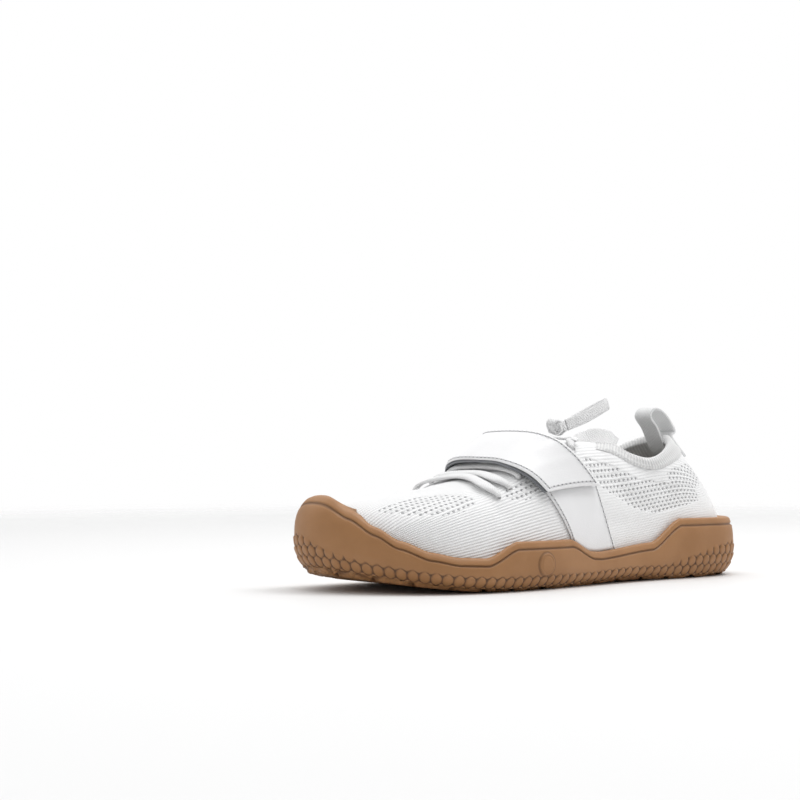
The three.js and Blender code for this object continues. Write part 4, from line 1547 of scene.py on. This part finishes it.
@dataclass
class Strap:
    """The midfoot strap, fastened, with its grey underlayer and stitched edges."""

    last: Last
    levels: tuple[float, ...] = (0.48, 0.6, 0.7, 0.82, 0.96)
    front: tuple[float, float] = (8.8, 10.7)
    rear: tuple[float, float] = (6.65, 9.05)
    thickness: float = 2.4
    front_rise: float = 2.8
    rear_rise: float = 7.4
    over_panel: float = 0.5
    panel_thickness: float = 1.1
    under_thickness: float = 1.1
    stitch_pitch: float = 3.1

    def face(self, distance: float, low: float, high: float, rows: int, columns: int) -> Array:
        """A face of the strap.

        Args:
            distance: How far it lies outside the wall.
            low: The share of the strap's width at the rear edge.
            high: The share at the front edge.
            rows: Points across the width.
            columns: Points along the strap.

        Returns:
            Rows by columns by three.
        """
        def turn_of(edge: tuple[float, float], level: float) -> float:
            """The turn of an edge at a level."""
            return edge[0] + (level - self.levels[0]) / (1 - self.levels[0]) * (edge[1] - edge[0])

        lines = []
        for share in np.linspace(low, high, rows):
            lines.append(crossing(
                self.last,
                lambda level: turn_of(self.rear, level) * (1 - share)
                + turn_of(self.front, level) * share,
                self.levels, distance,
                self.rear_rise * (1 - share) + self.front_rise * share, columns))
        return np.stack(lines)[:, ::-1]

    def build(self, leather: bpy.types.Material, tape: bpy.types.Material,
              thread: bpy.types.Material) -> None:
        """Build the strap.

        Args:
            leather: Its face.
            tape: The grey layer beneath.
            thread: Its stitches.
        """
        base = 2 * self.last.clearance + self.panel_thickness + self.over_panel
        upper_layer = self.thickness - self.under_thickness
        middle = base + self.under_thickness + upper_layer / 2
        face = self.face(middle, 0.0, 1.0, 64, 260)
        wave = 0.25 * np.sin(face[..., 1] / 9.0 + 0.6) * np.sin(face[..., 0] / 8.0)
        face = face + normals_of(face) * wave[..., None]
        body = Body("strap_face")
        padded_plate(body, face, upper_layer, 3)
        finished(body.build(leather), Slot.LEATHER, "strap")
        under = self.face(base + self.under_thickness / 2, 0.0, 1.035, 44, 220)
        under = under[:, 1:-1]
        row = np.arange(44)[:, None] * 0.9 + 0 * under[..., 0]
        column = np.arange(under.shape[1])[None, :] * 0.62 + 0 * under[..., 0]
        tape_body = Body("strap_underlayer")
        padded_plate(tape_body, under, self.under_thickness, 2, u=row, v=column)
        finished(tape_body.build(tape), Slot.LEATHER)
        seam = Body("strap_stitches")
        out = normals_of(face)
        top = face + out * upper_layer / 2
        for index in (4, 59):
            stitches(seam, top[index, 5:-5], out[index, 5:-5], self.stitch_pitch)
        for index in (6, 253):
            stitches(seam, top[5:-5, index], out[5:-5, index], self.stitch_pitch)
        finished(seam.build(thread), Slot.LEATHER)


@dataclass
class Tongue:
    """The soft ribbed tongue inside the throat, its top free above the collar."""

    last: Last
    levels: tuple[float, ...] = (0.84, 0.9, 0.97)
    front: float = 11.2
    rear: float = 5.8
    free: float = 0.7
    top_along: float = -0.032
    top_height: float = 0.175
    narrow: float = 0.3
    narrows: tuple[float, float] = (0.3, 0.66)
    corner: float = 0.34
    wall: float = 2.0
    clearance: float = 1.2
    thickness: float = 2.6

    def build(self, material: bpy.types.Material) -> bpy.types.Object:
        """Build the tongue.

        Args:
            material: Its knit.

        Returns:
            The tongue's object.
        """
        rows, columns = 110, 90
        distance = -(self.wall + self.clearance + self.thickness / 2)
        face = np.zeros((rows, columns, 3))
        share = np.linspace(0, 1, columns)
        for index, along in enumerate(np.linspace(0, 1, rows)):
            held = min(along / self.free, 1)
            turn = self.front + (self.rear - self.front) * held
            line = crossing(self.last, lambda level: turn, self.levels, distance, 0.0, 160)
            free = max(0.0, (along - self.free) / (1 - self.free))
            narrowing = 1 - self.narrow * float(smoothstep(np.array(along), *self.narrows))
            place = (0.5 + (share - 0.5) * narrowing) * 159
            points = np.stack([np.interp(place, np.arange(160), line[:, a]) for a in range(3)], -1)
            climb = free - self.corner * free**3 * np.abs(2 * share - 1) ** 3
            points[:, 0] += self.top_along * self.last.length * climb
            points[:, 2] += self.top_height * self.last.instep_height * climb
            face[index] = points
        body = Body("tongue_knit")
        u = np.cumsum(np.concatenate([np.zeros((1, columns)),
                                      np.linalg.norm(np.diff(face, axis=0), axis=2)]), axis=0)
        v = face[..., 1]
        padded_plate(body, face, self.thickness, 4, u=u, v=v, ribbed=np.ones(v.shape))
        return finished(body.build(material), Slot.KNIT, "tongue")


class LaceBar(NamedTuple):
    """Half of a bar of the lace: its eyelet, shoulder and crown as turns and levels."""

    low: float
    level: float
    shoulder: float
    shoulder_level: float
    crown: float
    crown_level: float


LACE_BARS = (
    LaceBar(10.6, 0.6, 11.2, 0.77, 12.9, 0.96),
    LaceBar(10.15, 0.66, 10.7, 0.81, 11.6, 0.97),
    LaceBar(9.7, 0.72, 10.0, 0.84, 10.5, 0.98),
    LaceBar(9.1, 0.78, 9.3, 0.88, 9.6, 0.99),
    LaceBar(8.4, 0.82, 8.5, 0.9, 8.6, 1.0),
    LaceBar(7.6, 0.84, 7.6, 0.92, 7.6, 1.0),
)


@dataclass
class Laces:
    """The soft lace that runs from side to side over the throat."""

    last: Last
    clearance: float = 0.5
    lift: float = 0.5
    width: float = 6.0
    thickness: float = 2.2
    dive: float = 2.4
    pinch: float = 0.5
    ringed: int = 3
    steps: int = 130

    def course(self, bar: LaceBar) -> Array:
        """The course of one strand, from the eyelet on one side to that on the other.

        Args:
            bar: Where the strand runs.

        Returns:
            The centreline's points, each with the direction of the strand's face after it.
        """
        start = self.clearance + self.thickness / 2
        half = [(bar.low - 0.04, bar.level - 0.012, -self.dive), (bar.low, bar.level, start),
                (bar.shoulder, bar.shoulder_level, start + self.lift),
                (bar.crown, bar.crown_level, start + self.lift)]
        across = [(self.last.knots - turn, level, gap) for turn, level, gap in half[::-1]]
        turn, level, gap = np.array(half + across).T
        out = self.last.normal(turn, level)
        return spline(np.concatenate([self.last.offset(turn, level, gap), out], axis=1), self.steps)

    def build(self, lace: bpy.types.Material, thread: bpy.types.Material) -> None:
        """Build the lace and the worked rings of its eyelets.

        Args:
            lace: The yarn.
            thread: The rings' thread.
        """
        sides = 24
        ring = np.linspace(0, 2 * (self.width + self.thickness), sides, endpoint=False)
        body = Body("lace_strands")
        for bar in LACE_BARS:
            both = self.course(bar)
            line, ups = both[:, :3], both[:, 3:]
            gone = np.linspace(0, run_length(line), self.steps)
            near_end = np.minimum(gone, gone[-1] - gone)
            narrow = 1 - self.pinch * (1 - smoothstep(near_end, 2, 16))
            full = self.thickness * (1.0 + 0.12 * np.sin(gone / 4.0))
            wide = self.width * narrow * (1 + 0.07 * np.sin(gone / 6.0))
            grid = tube(line, ups, wide, full, sides, 2.3)
            body.add(grid, wrap=True, u=np.broadcast_to(gone[:, None], grid.shape[:2]),
                     v=np.broadcast_to(ring[None, :], grid.shape[:2]))
        finished(body.build(lace), Slot.LACE, "lace_crossings")
        rings = Body("eyelet_rings")
        for bar in LACE_BARS[self.ringed:]:
            for turn in (bar.low, self.last.knots - bar.low):
                place = np.array([turn]), np.array([bar.level])
                centre = self.last.offset(*place, np.array([0.4]))[0]
                out = self.last.normal(*place)[0]
                side = np.cross(out, (1.0, 0.0, 0.0))
                side /= np.linalg.norm(side)
                ahead = np.cross(side, out)
                angle = np.linspace(0, 2 * np.pi, 25)[:, None]
                loop = centre + (side * np.cos(angle) + ahead * np.sin(angle)) * 3.1
                rings.add(tube(loop, np.broadcast_to(out, loop.shape), 1.0, 0.8, 8), wrap=True)
        finished(rings.build(thread), Slot.KNIT)


@dataclass
class Bow:
    """The knot on the instep and the flat loop that rises from it."""

    last: Last
    knot_turn: float = 7.35
    knot_over: float = 8.2
    knot_size: tuple[float, float, float] = (14.0, 12.0, 10.0)
    clearance: float = 0.1
    length: float = 32.0
    width: float = 6.6
    thickness: float = 1.5
    route: tuple[tuple[float, float, float], ...] = (
        (0.0, 0.04, 0.03), (0.4, 0.11, 0.18), (0.8, 0.1, 0.35), (1.0, 0.0, 0.41),
        (0.82, -0.12, 0.31), (0.42, -0.14, 0.14), (0.0, -0.05, 0.0))
    side: tuple[float, float, float] = (0.3, 0.0, 1.0)

    @cached_property
    def centre(self) -> Array:
        """The middle of the knot."""
        turn = np.array([self.knot_turn, self.last.knots - self.knot_turn])
        return self.last.surface(turn, np.ones(2)).mean(axis=0) + (0, 0, self.knot_over)

    def build(self, lace: bpy.types.Material) -> None:
        """Build the knot's wraps and the loop, which is a free cord.

        Args:
            lace: The yarn.
        """
        wraps = Body("lace_wraps")
        length, width, height = self.knot_size
        for turned, rise, share in ((0.1, 0.5, 1.0), (1.2, 0.2, 0.86), (2.2, -0.5, 0.9)):
            angle = np.linspace(0, 2 * np.pi, 57)
            ahead = np.array([math.cos(turned) * length, math.sin(turned) * width, rise * height])
            over = np.array([0.0, 0.1 * width, 0.5 * height])
            reach = share * (0.5 - self.thickness / height)
            line = (self.centre + np.cos(angle)[:, None] * ahead * reach * 0.8
                    + np.sin(angle)[:, None] * over * reach * 2)
            grid = tube(line, line - self.centre, self.width, self.thickness * 1.3, 16, 2.4)
            u = np.broadcast_to(angle[:, None] * 4.5, grid.shape[:2])
            v = np.broadcast_to(np.linspace(0, 14, 16, endpoint=False)[None, :], grid.shape[:2])
            wraps.add(grid, wrap=True, u=u, v=v)
        finished(wraps.build(lace), Slot.LACE, "lace_knot")
        start = self.centre - (length / 2 + self.clearance, 0, 0)
        back = np.array(self.route) * (-self.length, self.length, self.length)
        line = spline(start + back, 110)
        ups = np.cross(np.gradient(line, axis=0), np.array(self.side))
        grid = tube(line, ups, self.width, self.thickness, 20, 3.0)
        gone = np.linspace(0, run_length(line), len(line))
        ring = np.linspace(0, 2 * (self.width + self.thickness), 20, endpoint=False)
        body = Body("lace_loop")
        body.add(grid, wrap=True, u=np.broadcast_to(gone[:, None], grid.shape[:2]),
                 v=np.broadcast_to(ring[None, :], grid.shape[:2]))
        made = finished(body.build(lace), Slot.LACE, "lace_bow")
        line[0] * MM
        line * MM


@dataclass
class PullLoop:
    """The webbing loop over the heel."""

    last: Last
    width: float = 12.5
    thickness: float = 1.8
    wall: float = 2.0
    step: float = 1.0
    route: tuple[tuple[float, float], ...] = (
        (0.187, 1.07), (0.207, 1.16), (0.194, 1.215), (0.166, 1.18), (0.137, 1.06))

    def build(self, material: bpy.types.Material, thread: bpy.types.Material) -> None:
        """Build the loop and its stitched foot.

        Args:
            material: The webbing.
            thread: The stitches' thread.
        """
        inside = -(self.wall + 2.3 + self.thickness / 2)
        outside = self.step + 1.1 + self.thickness / 2
        route = [(along * self.last.length - self.last.heel_spot, 0.0,
                  height * self.last.heel_height) for along, height in self.route]
        places = [(0.86, inside), (0.97, inside), (0.97, outside), (0.78, outside)]
        pins = [self.last.offset(np.zeros(1), np.array([level]), np.array([gap]))[0]
                for level, gap in places]
        line = spline([*pins[:2], *route, *pins[2:]], 120)
        ahead = np.gradient(line, axis=0)
        ups = np.cross(ahead, (0.0, 1.0, 0.0))
        grid = tube(line, ups, self.width, self.thickness, 40, 6.0)
        u = np.concatenate([[0], np.cumsum(np.linalg.norm(np.diff(line, axis=0), axis=1))])
        body = Body("pull_loop_webbing")
        body.add(grid, wrap=True, u=np.broadcast_to(u[:, None], grid.shape[:2]), v=grid[..., 1])
        finished(body.build(material), Slot.WEBBING, "pull_loop")
        seam = Body("pull_loop_stitches")
        foot = line[-14]
        out = self.last.normal(np.zeros(1), np.array([0.8]))[0]
        across = np.linspace(-self.width * 0.4, self.width * 0.4, 12)[:, None] * (0.0, 1.0, 0.0)
        row = foot + out * self.thickness * 0.55 + across
        stitches(seam, row, np.broadcast_to(out, row.shape), 1.6, 0.6)
        finished(seam.build(thread), Slot.WEBBING)


@dataclass
class Studio:
    """The camera, the pale floor and soft light."""

    place: tuple[float, float, float] = (0.79096, 0.776, 0.0771)
    turn: float = 37.6
    lens: float = 85.5
    shift: float = 0.05
    floor_size: float = 6.0
    fade: tuple[float, float] = (0.6, 1.3)
    dim: float = 0.28
    bright: float = 1.02

    def camera(self) -> None:
        """Place the camera at the photo's viewpoint."""
        data = bpy.data.cameras.new("camera")
        data.lens, data.sensor_width, data.shift_y = self.lens, 36.0, self.shift
        data.clip_start, data.clip_end = 0.05, 30.0
        made = bpy.data.objects.new("camera", data)
        angle = math.radians(self.turn)
        look = Vector((-math.sin(angle), -math.cos(angle), 0.0))
        made.rotation_euler = look.to_track_quat("-Z", "Y").to_euler()
        made.location = self.place
        bpy.context.scene.collection.objects.link(made)
        bpy.context.scene.camera = made

    def floor(self) -> None:
        """Lay the pale floor, which fades into the white room far from the shoe."""
        shader = Shader("pale floor")
        length = {"operation": "LENGTH"}
        far = Value(shader, shader.node("ShaderNodeVectorMath", length,
                                        {0: shader.place()}).outputs["Value"])
        material = shader.dress(linear(230, 230, 230), 0.6, Specular_IOR_Level=0.1,
                                Alpha=1.0 - far.eased(*self.fade))
        bpy.ops.mesh.primitive_plane_add(size=self.floor_size, location=(0.0, 0.0, -0.0002))
        plane = bpy.context.object
        plane.name = "floor"
        plane.data.materials.append(material)
        plane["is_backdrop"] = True

    def light(self) -> None:
        """Light the room softly: bright ahead of the camera and above, dimmer behind it."""
        world = bpy.data.worlds.new("room")
        room = Nodes(world)
        angle = math.radians(self.turn)
        ahead = (-math.sin(angle), -math.cos(angle), 0.35)
        facing = room.node("ShaderNodeVectorMath", {"operation": "DOT_PRODUCT"},
                           {0: room.node("ShaderNodeTexCoord").outputs["Generated"], 1: ahead})
        ramp = room.node("ShaderNodeMapRange", None, {
            "Value": facing.outputs["Value"], "From Min": -0.9, "From Max": 0.6,
            "To Min": self.dim, "To Max": self.bright})
        seen = Value(room, room.node("ShaderNodeLightPath").outputs["Is Camera Ray"])
        strength = Value(room, ramp.outputs["Result"]) * (1.0 - seen) + seen
        ground = room.node("ShaderNodeBackground", None,
                           {"Color": (1.0, 1.0, 1.0), "Strength": strength})
        room.node("ShaderNodeOutputWorld", None, {"Surface": ground.outputs["Background"]})
        bpy.context.scene.world = world
        for name, place, size, power in (
            ("key", (-0.4, 0.3, 1.2), 0.5, 5.0),
            ("fill", (0.9, 0.5, 0.9), 1.2, 1.0),
            ("top", (0.15, 0.0, 1.5), 1.0, 7.0),
        ):
            data = bpy.data.lights.new(name, "AREA")
            data.size, data.energy = size, power
            made = bpy.data.objects.new(name, data)
            made.location = place
            aim = Vector((0.07, 0.0, 0.03)) - Vector(place)
            made.rotation_euler = aim.to_track_quat("-Z", "Y").to_euler()
            bpy.context.scene.collection.objects.link(made)
        bpy.context.scene.view_settings.view_transform = "Standard"


def box_lines(word: str, corners: tuple[Sequence[float], Sequence[float]]) -> dict[str, list[float]]:
    """The corners of a box as plain numbers."""
    return {f"{word} low": [round(float(v), 5) for v in corners[0]],
            f"{word} high": [round(float(v), 5) for v in corners[1]]}


def main() -> None:
    """Build the shoe's looks, piece by piece."""
    logging.basicConfig(level=logging.INFO, format="%(name)s: %(message)s")
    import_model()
    sizes = box_lines("CAD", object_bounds())
    studio = Studio()
    studio.camera()
    studio.floor()
    studio.light()
    last = Last()
    knit, cuff = KnitFinish().make(), CuffFinish().make()
    # painted light: the tongue's knit is a whiter copy of the upper's knit, brightened to make up for
    # the dimmer light on its forward face
    tongue = KnitFinish("tongue knit", linear(254, 254, 254), linear(240, 240, 240)).make()
    gum, leather = GumFinish().make(), LeatherFinish().make()
    lace, thread = BraidFinish().make(), ThreadFinish().make()
    lining = RibbedFinish("lining", linear(232, 229, 223), linear(206, 203, 197), 1.3, 0.8).make()
    sock = RibbedFinish("sock lining", linear(216, 213, 207), linear(188, 185, 179), 1.0).make()
    tape = RibbedFinish("strap tape", linear(158, 160, 164), linear(104, 106, 110), 1.2).make()
    webbing = RibbedFinish("webbing", linear(246, 246, 245), linear(220, 221, 222), 1.1, 1.4).make()
    Bow(last).build(lace)
    Laces(last).build(lace, thread)
    Outsole(last).build(gum)
    Upper(last).build(knit, lining)
    Cuff(last).build(cuff)
    Insole(last).build(sock)
    Tongue(last).build(tongue)
    for side in Side:
        SidePanel(last, side).build(leather, thread)
    Strap(last).build(leather, tape, thread)
    PullLoop(last).build(webbing, thread)
    sizes.update(box_lines("dressed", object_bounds()))


if __name__ == "__main__":
    main()
